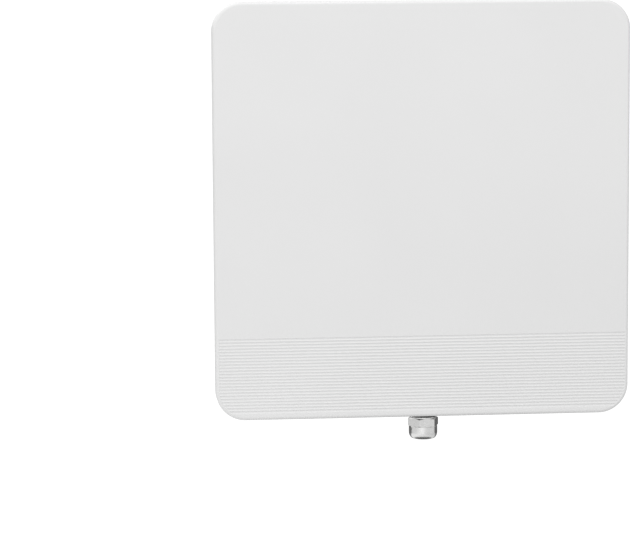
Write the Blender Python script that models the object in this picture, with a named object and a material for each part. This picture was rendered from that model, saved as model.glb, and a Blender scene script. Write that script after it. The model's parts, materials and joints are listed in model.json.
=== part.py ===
"""Outdoor wireless bridge: a square flat-panel radio on a tilting mast bracket.

Run it with: blender --background --python part.py

Units are metres and +Z is up. The panel faces -Y and +X is to its right. The origin is the middle of
the mast bracket's rear face, where the bracket meets a wall or, over its saddles, a mast.
A depth is a distance behind the panel's front face, so y = depth - REACH.
"""

import math

import bmesh
import bpy
from mathutils import Vector

# Panel
PANEL_SIDE = 0.330
CORNER_RADIUS = 0.0235
CORNER_STEPS = 5
REACH = 0.122
GAP = 0.0003

# Radome
RADOME_DEPTH = 0.014
RADOME_WALL = 0.0025
EDGE_FILLET = 0.006
FILLET_STEPS = 3
LEDGE_WIDTH = 0.015
LEDGE_THICKNESS = 0.0045
RIB_COUNT = 24
RIB_PITCH = 0.0025
RIB_TOP_Z = -0.1008
GROOVE_WIDTH = 0.0021
GROOVE_DEPTH = 0.0005
GROOVE_PAST = 0.0005

# Die-cast rear housing
FLANGE_INSET = 0.0026
FLANGE_FRONT = RADOME_DEPTH + GAP
FLANGE_BACK = FLANGE_FRONT + 0.004
WALL_INSET = 0.013
WALL_DRAFT = 0.0025
WALL = 0.003
BOLT_HOLE_DEPTH = 0.011
POST_HOLE_DEPTH = 0.011
HOUSING_BACK = 0.046
BACK_FILLET = 0.004
CAVITY_INSET = 0.017
CAVITY_DRAFT = 0.0015
FIN_COUNT = 24
FIN_PITCH = 0.012
FIN_THICKNESS = 0.002
FIN_HALF_LENGTH = 0.135
FIN_TIP = 0.054

# Case screws, two on each side of the panel
CASE_SCREW_LINE = 0.1577
CASE_SCREW_ALONG = 0.090
CASE_SCREW_HOLE = 0.0018
CASE_SCREW_HOLE_DEPTH = 0.0035

# Gasket between radome and housing
SEAT_INNER = 0.0143
SEAT_OUTER = 0.0112
SEAT_BACK = RADOME_DEPTH + 0.0018
GASKET_SIDE_GAP = 0.0003
GASKET_DEPTHS = (RADOME_DEPTH + 0.0002, RADOME_DEPTH + 0.0015)

# Antenna stack
BOARD_THICKNESS = 0.0016
ANTENNA_FRONT = 0.005
ANTENNA_HALF = 0.145
PATCH_SIDE = 0.018
PATCH_PITCH = 0.052
PATCH_ROWS = 5
PATCH_HEIGHT = 0.0005
REFLECTOR_FRONT = 0.015
REFLECTOR_THICKNESS = 0.0015
SPACER_PLACE = 0.125
SPACER_RADIUS = 0.004
SPACER_PIN_RADIUS = 0.0013
SPACER_PIN_BACK = 0.008
SPACER_PIN_FRONT = 0.0022
SPACER_HOLE_RADIUS = 0.0017
POST_RADIUS = 0.0045

# Radio board
RADIO_FRONT = 0.022
RADIO_BACK = RADIO_FRONT + BOARD_THICKNESS
RADIO_HALF_WIDTH = 0.080
RADIO_BOTTOM = -0.141
RADIO_TOP = 0.022
RADIO_SCREW_INSET = 0.006
RADIO_HOLE_RADIUS = 0.0017
CAN_CENTRE_Z = -0.032
CAN_HALF = (0.035, 0.0275)
CAN_HEIGHT = 0.006
CAN_WALL = 0.0008
PAD_HALF = (0.028, 0.0225)
PAD_THICKNESS = 0.0012
PIGTAIL_RADIUS = 0.0012
PIGTAIL_PLACES = {"pigtail_vertical": -0.045, "pigtail_horizontal": 0.045}
PIGTAIL_FOOT_Z = 0.005
PIGTAIL_RISE_Z = 0.069
PIGTAIL_BEND = 0.004
PIGTAIL_HOLE_RADIUS = 0.004

# Cable gland, below the housing's bottom boss
GLAND_X = 0.0035
GLAND_DEPTH = 0.0305
GLAND_STEPS = 24
BOSS_FACE_Z = -0.1609
BOSS_RADIUS = 0.0135
BOSS_BURIED_Z = -0.1488
THREAD_RADIUS = 0.0098
THREAD_TOP = 0.0122
BODY_BORE = 0.0073
WASHER_THICKNESS = 0.0014
WASHER_RADIUS = 0.012
HEX_FLATS = 0.022
HEX_CORNER = 0.0127
HEX_TURN = math.radians(-21)
FLANGE_HEIGHT = 0.0040
SPIGOT_RADIUS = 0.009
SPIGOT_END = 0.0176
RING_HEIGHT = 0.0019
NUT_TOP = 0.0085
NUT_COLLAR_RADIUS = 0.0109
NUT_COLLAR_HEIGHT = 0.0009
NUT_HEX_HEIGHT = 0.0075
NUT_LENGTH = 0.0181
DOME_RADIUS = 0.0115
DOME_RIM_RADIUS = 0.00975
DOME_ROUNDING = 0.0045
NUT_BORE = 0.0093
NUT_EXIT = 0.007
SEAL_HOLE = 0.0032
SEAL_LENGTH = 0.008
SEAL_LIP = 0.0012

# Small parts in the housing's bottom wall
VENT_X = -0.045
VENT_DEPTH = 0.028
VENT_HOLE_RADIUS = 0.0052
GROUND_X = 0.060
GROUND_DEPTH = 0.031
GROUND_HOLE_RADIUS = 0.0026
BOTTOM_WALL_Z = -0.1517
SWITCH_Z = RADIO_BOTTOM + 0.001

# Brackets
SHEET = 0.0025
BRACKET_BOSS_TOP = 0.056
BRACKET_BOSS_RADIUS = 0.009
PANEL_WEB_FRONT = BRACKET_BOSS_TOP + GAP
PANEL_WEB_BACK = PANEL_WEB_FRONT + SHEET
PANEL_WEB_HALF_HEIGHT = 0.060
PANEL_EAR_OUTER = 0.0575
MAST_EAR_OUTER = PANEL_EAR_OUTER - SHEET - GAP
MAST_WEB_HALF_HEIGHT = 0.058
PIVOT_DEPTH = 0.090
PIVOT_Z = 0.020
LOCK_RADIUS = 0.042
TILT_LIMIT = math.radians(15)
BOLT_RADIUS = 0.0039
BOLT_HOLE_RADIUS = 0.0043
PIVOT_EAR_RADIUS = 0.013
LOCK_EAR_RADIUS = 0.012
SLOT_EAR_RADIUS = 0.0095
BRACKET_BOLT_PLACES = ((-0.038, -0.045), (0.038, -0.045), (-0.038, 0.045), (0.038, 0.045))
M6_HOLE_RADIUS = 0.0033
WALL_HOLE_PLACES = ((-0.018, -0.014), (0.018, -0.014), (-0.018, 0.014), (0.018, 0.014))
CLINCH_RADIUS = 0.007
CLINCH_HEIGHT = 0.006

# Mast clamp
MAST_RADIUS = 0.030
U_BOLT_WIRE = 0.004
U_BOLT_BEND = 0.035
U_BOLT_Z = 0.040
U_BOLT_FRONT = 0.104
U_BOLT_HOLE_RADIUS = 0.0046
BEND_STEPS = 12
WIRE_STEPS = 8
SADDLE_HALF_WIDTH = 0.0295
SADDLE_HALF_HEIGHT = 0.011
SADDLE_APEX = 0.1255
SADDLE_TOP = 0.1405
SADDLE_LIP = 0.0015

# How far a cutter stands out of the wall it cuts, and how deep a joined piece sinks into its wall
THROUGH = 0.001
OVERLAP = 0.001

UPWARD = Vector((0, 0, 1))
BACKWARD = Vector((0, 1, 0))
FRONTWARD = -BACKWARD
SIDEWAYS = Vector((1, 0, 0))
SHARP_ANGLE = math.radians(35)
PANEL_AT = Vector((0.0, -REACH, 0.0))
GLAND_AT = Vector((GLAND_X, GLAND_DEPTH - REACH, BOSS_FACE_Z))
PIVOT_AT = Vector((0.0, PIVOT_DEPTH - REACH, PIVOT_Z))


# ---------------------------------------------------------------- materials


def principled(name, colour, roughness, metallic):
    """A material with one Principled BSDF."""
    material = bpy.data.materials.new(name)
    material.use_nodes = True
    shader = material.node_tree.nodes["Principled BSDF"]
    shader.inputs["Base Color"].default_value = (*colour, 1.0)
    shader.inputs["Roughness"].default_value = roughness
    shader.inputs["Metallic"].default_value = metallic
    return material


def radome_plastic():
    return principled("radome_plastic", (0.76, 0.76, 0.75), 0.55, 0.0)


def die_cast_paint():
    return principled("die_cast_paint", (0.66, 0.66, 0.65), 0.5, 0.2)


def galvanised_steel():
    return principled("galvanised_steel", (0.55, 0.56, 0.57), 0.45, 1.0)


def stainless_steel():
    return principled("stainless_steel", (0.62, 0.61, 0.6), 0.3, 1.0)


def nickel_brass():
    return principled("nickel_brass", (0.68, 0.66, 0.62), 0.28, 1.0)


def black_rubber():
    return principled("black_rubber", (0.02, 0.02, 0.02), 0.8, 0.0)


def bare_aluminium():
    return principled("bare_aluminium", (0.75, 0.75, 0.76), 0.4, 1.0)


def circuit_laminate():
    return principled("circuit_laminate", (0.03, 0.16, 0.07), 0.45, 0.0)


def white_nylon():
    return principled("white_nylon", (0.8, 0.79, 0.75), 0.5, 0.0)


def black_plastic():
    return principled("black_plastic", (0.025, 0.025, 0.027), 0.45, 0.0)


def grey_pad():
    return principled("grey_pad", (0.32, 0.34, 0.38), 0.85, 0.0)


# ---------------------------------------------------------------- shapes


def closed_shape(rows, joined_ends):
    """A closed bmesh from rows of points: a row of one point is a tip, and an end row of more is capped."""
    shape = bmesh.new()
    made = [[shape.verts.new(point) for point in row] for row in rows]
    pairs = list(zip(made, made[1:]))
    if joined_ends:
        pairs.append((made[-1], made[0]))
    for first, second in pairs:
        count = max(len(first), len(second))
        for i in range(count):
            j = (i + 1) % count
            corners = [first[i % len(first)], first[j % len(first)]]
            corners += [second[j % len(second)], second[i % len(second)]]
            shape.faces.new(dict.fromkeys(corners))
    if not joined_ends:
        for row in (made[0], made[-1]):
            if len(row) > 2:
                shape.faces.new(row)
    bmesh.ops.recalc_face_normals(shape, faces=shape.faces)
    return shape


def block(low, high):
    """A box between two corners."""
    base = [(low[0], low[1]), (high[0], low[1]), (high[0], high[1]), (low[0], high[1])]
    return prism(base, low[2], high[2])


def prism(outline, low, high):
    """The XY outline extruded from z = low to z = high."""
    return closed_shape([[Vector((x, y, z)) for x, y in outline] for z in (low, high)], False)


def side_prism(outline, low, high):
    """The YZ outline extruded from x = low to x = high."""
    return closed_shape([[Vector((x, y, z)) for y, z in outline] for x in (low, high)], False)


def upright(shape, axis):
    """The shape turned so that its own Z points along axis."""
    turn = UPWARD.rotation_difference(axis).to_matrix()
    bmesh.ops.rotate(shape, verts=shape.verts, cent=(0, 0, 0), matrix=turn)
    return shape


def moved(shape, offset):
    """The shape, moved by an offset."""
    bmesh.ops.translate(shape, verts=shape.verts, vec=offset)
    return shape


def rounded_square(inset, depth):
    """The panel's outline, inset and at a depth, as (x, depth, z)."""
    radius = CORNER_RADIUS - inset
    middle = PANEL_SIDE / 2 - CORNER_RADIUS
    points = []
    for quarter, (side_x, side_z) in enumerate(((1, 1), (-1, 1), (-1, -1), (1, -1))):
        for step in range(CORNER_STEPS + 1):
            angle = (quarter + step / CORNER_STEPS) * math.pi / 2
            x = side_x * middle + radius * math.cos(angle)
            z = side_z * middle + radius * math.sin(angle)
            points.append(Vector((x, depth, z)))
    return points


def turned(levels, steps, joined_ends=False, turn=0.0):
    """A shape about Z. A level is (radius, height), or (radius, height, flats) where a hexagon limits it."""
    rows = []
    for radius, height, *flats in levels:
        if radius == 0:
            rows.append([Vector((0, 0, height))])
            continue
        row = []
        for step in range(steps):
            angle = 2 * math.pi * step / steps
            reach = radius
            if flats:
                off_flat = (angle % (math.pi / 3)) - math.pi / 6
                reach = min(radius, flats[0] / 2 / math.cos(off_flat))
            row.append(Vector((reach * math.cos(angle + turn), reach * math.sin(angle + turn), height)))
        rows.append(row)
    return closed_shape(rows, joined_ends)


def rod(start, axis, length, radius, steps=16):
    """A plain cylinder from start along axis."""
    shape = turned([(0, 0), (radius, 0), (radius, length), (0, length)], steps)
    return moved(upright(shape, axis), Vector(start))


def gathered(shapes):
    """Separate shapes in one bmesh."""
    whole = bmesh.new()
    for shape in shapes:
        carrier = bpy.data.meshes.new("carrier")
        shape.to_mesh(carrier)
        shape.free()
        whole.from_mesh(carrier)
        bpy.data.meshes.remove(carrier)
    return whole


def arc(centre, radius, start, end, steps):
    """Points on an arc in the plane of two coordinates."""
    points = []
    for step in range(steps + 1):
        angle = start + (end - start) * step / steps
        points.append((centre[0] + radius * math.cos(angle), centre[1] + radius * math.sin(angle)))
    return points


def hull(points):
    """The convex outline round points in a plane, anticlockwise."""
    ordered = sorted(set(points))

    def half(run):
        kept = []
        for point in run:
            while len(kept) > 1:
                (ax, ay), (bx, by) = kept[-2:]
                if (bx - ax) * (point[1] - ay) - (by - ay) * (point[0] - ax) > 1e-12:
                    break
                kept.pop()
            kept.append(point)
        return kept[:-1]

    return half(ordered) + half(ordered[::-1])


# ---------------------------------------------------------------- objects


def add_axis(name, at, parent=None):
    """An empty that carries pieces, at a point in world space."""
    empty = bpy.data.objects.new(name, None)
    bpy.context.scene.collection.objects.link(empty)
    attach(empty, at, parent)
    return empty


def attach(thing, at, parent):
    thing.parent = parent
    thing.location = at - world_place(parent)


def world_place(thing):
    place = Vector((0, 0, 0))
    while thing is not None:
        place = place + thing.location
        thing = thing.parent
    return place


def add_part(name, shape, material, at, parent):
    """An object whose shape is given from its own origin, which is at a point in world space."""
    mesh = bpy.data.meshes.new(name)
    shape.to_mesh(mesh)
    shape.free()
    mesh.materials.append(material)
    mesh.shade_smooth()
    mesh.set_sharp_from_angle(angle=SHARP_ANGLE)
    part = bpy.data.objects.new(name, mesh)
    bpy.context.scene.collection.objects.link(part)
    attach(part, at, parent)
    return part


def add_copies(names, shape, material, places, parent):
    """One object per name, sharing a mesh."""
    first = add_part(names[0], shape, material, places[0], parent)
    for name, place in zip(names[1:], places[1:]):
        copy = bpy.data.objects.new(name, first.data)
        bpy.context.scene.collection.objects.link(copy)
        attach(copy, place, parent)


def boolean(part, shape, operation):
    """Joins or cuts the part with a hidden shape that is given from the part's own origin."""
    helper = add_part(f"{part.name}_{operation.lower()}_{len(part.modifiers)}", shape, part.active_material,
                      world_place(part), part.parent)
    helper.hide_render = True
    helper.display_type = "WIRE"
    modifier = part.modifiers.new(operation.title(), "BOOLEAN")
    modifier.object = helper
    modifier.operation = operation
    modifier.solver = "EXACT"


def join(part, shape):
    boolean(part, shape, "UNION")


def cut(part, shape):
    boolean(part, shape, "DIFFERENCE")


# ---------------------------------------------------------------- panel case


def case_screw_places():
    places = []
    for side in (-1, 1):
        for other in (-1, 1):
            places.append((side * CASE_SCREW_LINE, other * CASE_SCREW_ALONG))
            places.append((other * CASE_SCREW_ALONG, side * CASE_SCREW_LINE))
    return places


def add_radome(parent, material):
    """The front cover: a rounded tray with a screw ledge round its rim and fine grooves low on its face."""
    profile = []
    for step in range(FILLET_STEPS + 1):
        angle = step / FILLET_STEPS * math.pi / 2
        profile.append((EDGE_FILLET * (1 - math.sin(angle)), EDGE_FILLET * (1 - math.cos(angle))))
    ledge_front = RADOME_DEPTH - LEDGE_THICKNESS
    inner_fillet = EDGE_FILLET - RADOME_WALL
    profile += [(0, RADOME_DEPTH), (LEDGE_WIDTH, RADOME_DEPTH), (LEDGE_WIDTH, ledge_front)]
    profile += [(RADOME_WALL, ledge_front), (RADOME_WALL, EDGE_FILLET)]
    profile += [(RADOME_WALL + inner_fillet, RADOME_WALL)]
    shape = closed_shape([rounded_square(inset, depth) for inset, depth in profile], False)
    radome = add_part("radome", shape, material, PANEL_AT, parent)

    grooves = []
    spread = GROOVE_WIDTH / 2 * (1 + GROOVE_PAST / GROOVE_DEPTH)
    for rib in range(RIB_COUNT):
        z = RIB_TOP_Z - rib * RIB_PITCH
        section = [(-GROOVE_PAST, z - spread), (GROOVE_DEPTH, z), (-GROOVE_PAST, z + spread)]
        grooves.append(side_prism(section, -PANEL_SIDE, PANEL_SIDE))
    cut(radome, gathered(grooves))
    holes = []
    for x, z in case_screw_places():
        start = (x, RADOME_DEPTH + THROUGH, z)
        holes.append(rod(start, FRONTWARD, CASE_SCREW_HOLE_DEPTH + THROUGH, CASE_SCREW_HOLE, 12))
    cut(radome, gathered(holes))


def add_case_gasket(parent, material):
    """The rubber ring between radome and housing, in the housing's groove."""
    outer = SEAT_OUTER + GASKET_SIDE_GAP
    inner = SEAT_INNER - GASKET_SIDE_GAP
    front, back = GASKET_DEPTHS
    corners = [(outer, front), (outer, back), (inner, back), (inner, front)]
    shape = closed_shape([rounded_square(inset, depth) for inset, depth in corners], True)
    add_part("case_gasket", shape, material, PANEL_AT, parent)


def cooling_fins():
    fins = []
    half = FIN_THICKNESS / 2
    for i in range(FIN_COUNT):
        x = (i - (FIN_COUNT - 1) / 2) * FIN_PITCH
        low = (x - half, HOUSING_BACK - OVERLAP, -FIN_HALF_LENGTH)
        fins.append(block(low, (x + half, FIN_TIP, FIN_HALF_LENGTH)))
    return gathered(fins)


def antenna_post_places():
    return [(x * SPACER_PLACE, z * SPACER_PLACE) for x in (-1, 1) for z in (-1, 1)]


def radio_screw_places():
    x = RADIO_HALF_WIDTH - RADIO_SCREW_INSET
    ends = (RADIO_BOTTOM + RADIO_SCREW_INSET, RADIO_TOP - RADIO_SCREW_INSET)
    return [(side * x, z) for side in (-1, 1) for z in ends]


def housing_bosses():
    """Every boss, post and pedestal that stands on the housing's walls."""
    inside = HOUSING_BACK - WALL + OVERLAP
    bosses = []
    start = HOUSING_BACK - OVERLAP
    for x, z in BRACKET_BOLT_PLACES:
        bosses.append(rod((x, start, z), BACKWARD, BRACKET_BOSS_TOP - start, BRACKET_BOSS_RADIUS, 20))
    top = REFLECTOR_FRONT + REFLECTOR_THICKNESS + GAP
    for x, z in antenna_post_places():
        bosses.append(rod((x, inside, z), FRONTWARD, inside - top, POST_RADIUS, 12))
    for x, z in radio_screw_places():
        bosses.append(rod((x, inside, z), FRONTWARD, inside - RADIO_BACK - GAP, POST_RADIUS, 12))
    pedestal_front = RADIO_BACK + CAN_HEIGHT + PAD_THICKNESS + 3 * GAP
    low = (-PAD_HALF[0], pedestal_front, CAN_CENTRE_Z - PAD_HALF[1])
    bosses.append(block(low, (PAD_HALF[0], inside, CAN_CENTRE_Z + PAD_HALF[1])))
    length = BOSS_BURIED_Z - BOSS_FACE_Z
    bosses.append(rod((GLAND_X, GLAND_DEPTH, BOSS_BURIED_Z), -UPWARD, length, BOSS_RADIUS, 28))
    return gathered(bosses)


def housing_holes():
    """Every screw hole and opening in the housing."""
    holes = []
    flange = FLANGE_BACK - FLANGE_FRONT
    for x, z in case_screw_places():
        holes.append(rod((x, FLANGE_FRONT - THROUGH, z), BACKWARD, flange + 2 * THROUGH, CASE_SCREW_HOLE, 12))
    for x, z in BRACKET_BOLT_PLACES:
        start = (x, BRACKET_BOSS_TOP + THROUGH, z)
        holes.append(rod(start, FRONTWARD, BOLT_HOLE_DEPTH, M6_HOLE_RADIUS, 12))
    for x, z in antenna_post_places():
        holes.append(rod((x, REFLECTOR_FRONT, z), BACKWARD, POST_HOLE_DEPTH, SPACER_HOLE_RADIUS, 10))
    for x, z in radio_screw_places():
        holes.append(rod((x, RADIO_FRONT, z), BACKWARD, POST_HOLE_DEPTH, RADIO_HOLE_RADIUS, 10))
    start = (GLAND_X, GLAND_DEPTH, BOSS_FACE_Z - THROUGH)
    holes.append(rod(start, UPWARD, 2 * THREAD_TOP, THREAD_RADIUS + GAP, 28))
    start = BOTTOM_WALL_Z - 2 * THROUGH
    holes.append(rod((VENT_X, VENT_DEPTH, start), UPWARD, 3 * WALL, VENT_HOLE_RADIUS, 20))
    holes.append(rod((GROUND_X, GROUND_DEPTH, start), UPWARD, 3 * WALL, GROUND_HOLE_RADIUS, 12))
    return gathered(holes)


def add_rear_housing(parent, material):
    """The die-cast tray: flange, drafted walls, finned back, bosses and the gland boss."""
    back_inset = WALL_INSET + WALL_DRAFT
    profile = [(back_inset + BACK_FILLET, HOUSING_BACK)]
    for step in (2, 1):
        angle = step / 3 * math.pi / 2
        inset = back_inset + BACK_FILLET * (1 - math.cos(angle))
        profile.append((inset, HOUSING_BACK - BACK_FILLET * (1 - math.sin(angle))))
    profile += [(back_inset, HOUSING_BACK - BACK_FILLET), (WALL_INSET, FLANGE_BACK)]
    profile += [(FLANGE_INSET, FLANGE_BACK), (FLANGE_INSET, FLANGE_FRONT), (CAVITY_INSET, FLANGE_FRONT)]
    profile += [(CAVITY_INSET + CAVITY_DRAFT, HOUSING_BACK - WALL)]
    shape = closed_shape([rounded_square(inset, depth) for inset, depth in profile], False)
    housing = add_part("rear_housing", shape, material, PANEL_AT, parent)
    join(housing, cooling_fins())
    join(housing, housing_bosses())
    cut(housing, housing_holes())
    front = FLANGE_FRONT - THROUGH
    seat = [(SEAT_OUTER, front), (SEAT_OUTER, SEAT_BACK), (SEAT_INNER, SEAT_BACK), (SEAT_INNER, front)]
    cut(housing, closed_shape([rounded_square(inset, depth) for inset, depth in seat], True))


def add_case_screws(parent, material):
    """Socket screws through the flange into the radome's ledge."""
    head, shank = 0.0028, 0.0014
    levels = [(0, 0.0008), (0.0014, 0.0008, 0.0025), (0.0014, 0.0022, 0.0025), (0.0023, 0.0022)]
    levels += [(head, 0.0016), (head, 0), (shank, 0), (shank, -0.0072), (0, -0.0072)]
    names = [f"case_screw_{i + 1}" for i in range(len(case_screw_places()))]
    places = [PANEL_AT + Vector((x, FLANGE_BACK + GAP, z)) for x, z in case_screw_places()]
    add_copies(names, upright(turned(levels, 12), BACKWARD), material, places, parent)


# ---------------------------------------------------------------- antenna and electronics


def add_antenna_board(parent, material):
    """The printed patch array behind the radome."""
    half = ANTENNA_HALF
    board = block((-half, ANTENNA_FRONT, -half), (half, ANTENNA_FRONT + BOARD_THICKNESS, half))
    part = add_part("antenna_board", board, material, PANEL_AT, parent)
    patches = []
    for column in range(PATCH_ROWS):
        for row in range(PATCH_ROWS):
            x = (column - (PATCH_ROWS - 1) / 2) * PATCH_PITCH
            z = (row - (PATCH_ROWS - 1) / 2) * PATCH_PITCH
            side = PATCH_SIDE / 2
            low = (x - side, ANTENNA_FRONT - PATCH_HEIGHT, z - side)
            patches.append(block(low, (x + side, ANTENNA_FRONT + PATCH_HEIGHT, z + side)))
    join(part, gathered(patches))
    holes = []
    for x, z in antenna_post_places():
        holes.append(rod((x, ANTENNA_FRONT - THROUGH, z), BACKWARD, 4 * THROUGH, SPACER_HOLE_RADIUS, 10))
    cut(part, gathered(holes))


def add_reflector_plate(parent, material):
    """The ground plane behind the patch array."""
    half = ANTENNA_HALF
    back = REFLECTOR_FRONT + REFLECTOR_THICKNESS
    plate = block((-half, REFLECTOR_FRONT, -half), (half, back, half))
    part = add_part("reflector_plate", plate, material, PANEL_AT, parent)
    holes = []
    start = REFLECTOR_FRONT - THROUGH
    for x, z in antenna_post_places():
        holes.append(rod((x, start, z), BACKWARD, 4 * THROUGH, SPACER_HOLE_RADIUS, 10))
    for x in PIGTAIL_PLACES.values():
        holes.append(rod((x, start, PIGTAIL_RISE_Z), BACKWARD, 4 * THROUGH, PIGTAIL_HOLE_RADIUS, 14))
    cut(part, gathered(holes))


def add_antenna_spacers(parent, material):
    """Nylon spacers whose pins pass the array, the reflector and the housing's posts."""
    front = ANTENNA_FRONT + BOARD_THICKNESS + GAP
    body = REFLECTOR_FRONT - GAP - front
    pin = SPACER_PIN_RADIUS
    levels = [(0, -SPACER_PIN_FRONT), (pin, -SPACER_PIN_FRONT), (pin, 0), (SPACER_RADIUS, 0)]
    levels += [(SPACER_RADIUS, body), (pin, body), (pin, body + SPACER_PIN_BACK), (0, body + SPACER_PIN_BACK)]
    names = [f"antenna_spacer_{i + 1}" for i in range(len(antenna_post_places()))]
    places = [PANEL_AT + Vector((x, front, z)) for x, z in antenna_post_places()]
    add_copies(names, upright(turned(levels, 12), BACKWARD), material, places, parent)


def add_pigtails(parent, material):
    """Coaxial leads from the radio board, through the reflector, to the array."""
    start = RADIO_FRONT - GAP
    end = ANTENNA_FRONT + BOARD_THICKNESS + GAP
    run = (start + REFLECTOR_FRONT + REFLECTOR_THICKNESS) / 2
    foot, rise = PIGTAIL_FOOT_Z, PIGTAIL_RISE_Z
    path = [(start, foot), (run + 0.001, foot), (run, foot + PIGTAIL_BEND)]
    path += [(run, rise - PIGTAIL_BEND), (REFLECTOR_FRONT, rise), (end, rise)]
    for name, x in PIGTAIL_PLACES.items():
        rows = []
        for i, (depth, z) in enumerate(path):
            before, after = path[max(i - 1, 0)], path[min(i + 1, len(path) - 1)]
            along = Vector((0, after[0] - before[0], after[1] - before[1])).normalized()
            across = along.cross(SIDEWAYS)
            row = []
            for step in range(WIRE_STEPS):
                angle = step / WIRE_STEPS * 2 * math.pi
                side = SIDEWAYS * math.cos(angle) + across * math.sin(angle)
                row.append(Vector((0, depth, z)) + side * PIGTAIL_RADIUS)
            rows.append(row)
        add_part(name, closed_shape(rows, False), material, PANEL_AT + Vector((x, 0, 0)), parent)


def add_radio_board(parent, material):
    """The board with the radio circuits, behind the reflector."""
    low = (-RADIO_HALF_WIDTH, RADIO_FRONT, RADIO_BOTTOM)
    board = block(low, (RADIO_HALF_WIDTH, RADIO_BACK, RADIO_TOP))
    part = add_part("radio_board", board, material, PANEL_AT, parent)
    holes = []
    for x, z in radio_screw_places():
        holes.append(rod((x, RADIO_FRONT - THROUGH, z), BACKWARD, 4 * THROUGH, RADIO_HOLE_RADIUS, 10))
    cut(part, gathered(holes))


def add_board_screws(parent, material):
    """Pan head screws through the radio board into the housing's posts."""
    head, crown, shank, length = 0.0028, 0.0018, 0.0013, 0.008
    levels = [(0, 0.0019), (crown, 0.0019), (head, 0.001), (head, 0)]
    levels += [(shank, 0), (shank, -length), (0, -length)]
    names = [f"board_screw_{i + 1}" for i in range(len(radio_screw_places()))]
    places = [PANEL_AT + Vector((x, RADIO_FRONT - GAP, z)) for x, z in radio_screw_places()]
    add_copies(names, upright(turned(levels, 12), FRONTWARD), material, places, parent)


def add_shield_can(parent, material):
    """The screening can over the radio circuits, open towards the board."""
    front = RADIO_BACK + GAP
    back = RADIO_BACK + CAN_HEIGHT
    low = (-CAN_HALF[0], front, CAN_CENTRE_Z - CAN_HALF[1])
    high = (CAN_HALF[0], back, CAN_CENTRE_Z + CAN_HALF[1])
    part = add_part("shield_can", block(low, high), material, PANEL_AT, parent)
    low = (low[0] + CAN_WALL, front - THROUGH, low[2] + CAN_WALL)
    cut(part, block(low, (high[0] - CAN_WALL, back - CAN_WALL, high[2] - CAN_WALL)))


def add_thermal_pad(parent, material):
    """The soft pad that carries heat from the can to the housing's pedestal."""
    front = RADIO_BACK + CAN_HEIGHT + GAP
    low = (-PAD_HALF[0], front, CAN_CENTRE_Z - PAD_HALF[1])
    high = (PAD_HALF[0], front + PAD_THICKNESS, CAN_CENTRE_Z + PAD_HALF[1])
    add_part("thermal_pad", block(low, high), material, PANEL_AT, parent)


def add_rj45_jack(parent, material):
    """The network jack, facing down over the gland's bore."""
    half, depth, height = 0.008, 0.0134, 0.0155
    front = RADIO_BACK + GAP
    low = (GLAND_X - half, front, RADIO_BOTTOM)
    case = block(low, (GLAND_X + half, front + depth, RADIO_BOTTOM + height))
    part = add_part("rj45_jack", case, material, PANEL_AT, parent)
    mouth_half, mouth_front, mouth_back, mouth_height = 0.006, 0.002, 0.0105, 0.012
    low = (GLAND_X - mouth_half, front + mouth_front, RADIO_BOTTOM - THROUGH)
    cut(part, block(low, (GLAND_X + mouth_half, front + mouth_back, RADIO_BOTTOM + mouth_height)))


def add_ethernet_transformer(parent, material):
    """The isolating transformer beside the jack."""
    front = RADIO_BACK + GAP
    low = (GLAND_X - 0.036, front, RADIO_BOTTOM + 0.004)
    shape = block(low, (GLAND_X - 0.019, front + 0.006, RADIO_BOTTOM + 0.018))
    add_part("ethernet_transformer", shape, material, PANEL_AT, parent)


def add_reset_switch(parent, material):
    """The switch's case, with a well for its button, behind the vent plug's hole."""
    at = PANEL_AT + Vector((VENT_X, VENT_DEPTH, SWITCH_Z))
    front = RADIO_BACK + GAP - VENT_DEPTH
    part = add_part("reset_switch", block((-0.0035, front, 0), (0.0035, 0.003, 0.006)), material, at, parent)
    cut(part, rod((0, 0, -THROUGH), UPWARD, 0.003 + THROUGH, 0.0018))


def add_reset_button(parent, material):
    """The push button in the switch's well."""
    at = PANEL_AT + Vector((VENT_X, VENT_DEPTH, SWITCH_Z))
    levels = [(0, 0.0022), (0.0015, 0.0022), (0.0015, -0.0018), (0.0012, -0.0021), (0, -0.0021)]
    add_part("reset_button", turned(levels, 16), material, at, parent)


# ---------------------------------------------------------------- cable gland and small fittings


def add_gland_entry_washer(parent, material):
    """The flat seal between the boss and the gland's hexagon."""
    top, bottom = -GAP, -GAP - WASHER_THICKNESS
    hole = THREAD_RADIUS + GAP
    levels = [(hole, top), (WASHER_RADIUS, top), (WASHER_RADIUS, bottom), (hole, bottom)]
    add_part("gland_entry_washer", turned(levels, GLAND_STEPS, True), material, GLAND_AT, parent)


def flange_levels():
    top = -2 * GAP - WASHER_THICKNESS
    return top, top - FLANGE_HEIGHT


def add_gland_body(parent, material):
    """The brass body: upper thread, hexagon and lower spigot round one bore."""
    top, bottom = flange_levels()
    chamfer, narrowed = 0.0007, 0.0115
    levels = [(BODY_BORE, THREAD_TOP), (THREAD_RADIUS, THREAD_TOP), (THREAD_RADIUS, top)]
    levels += [(narrowed, top, HEX_FLATS), (HEX_CORNER, top - chamfer, HEX_FLATS)]
    levels += [(HEX_CORNER, bottom + chamfer, HEX_FLATS), (narrowed, bottom, HEX_FLATS)]
    levels += [(SPIGOT_RADIUS, bottom), (SPIGOT_RADIUS, -SPIGOT_END), (BODY_BORE, -SPIGOT_END)]
    add_part("gland_body", turned(levels, GLAND_STEPS, True), material, GLAND_AT, parent)


def add_gland_o_ring(parent, material):
    """The black ring between the body's hexagon and the nut."""
    top = flange_levels()[1] - GAP
    inner, outer, middle = SPIGOT_RADIUS + GAP, 0.0109, top - RING_HEIGHT / 2
    corner = RING_HEIGHT / 4
    levels = [(inner, top), (outer - corner, top), (outer, middle), (outer - corner, top - RING_HEIGHT)]
    levels += [(inner, top - RING_HEIGHT)]
    add_part("gland_o_ring", turned(levels, GLAND_STEPS, True), material, GLAND_AT, parent)


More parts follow.
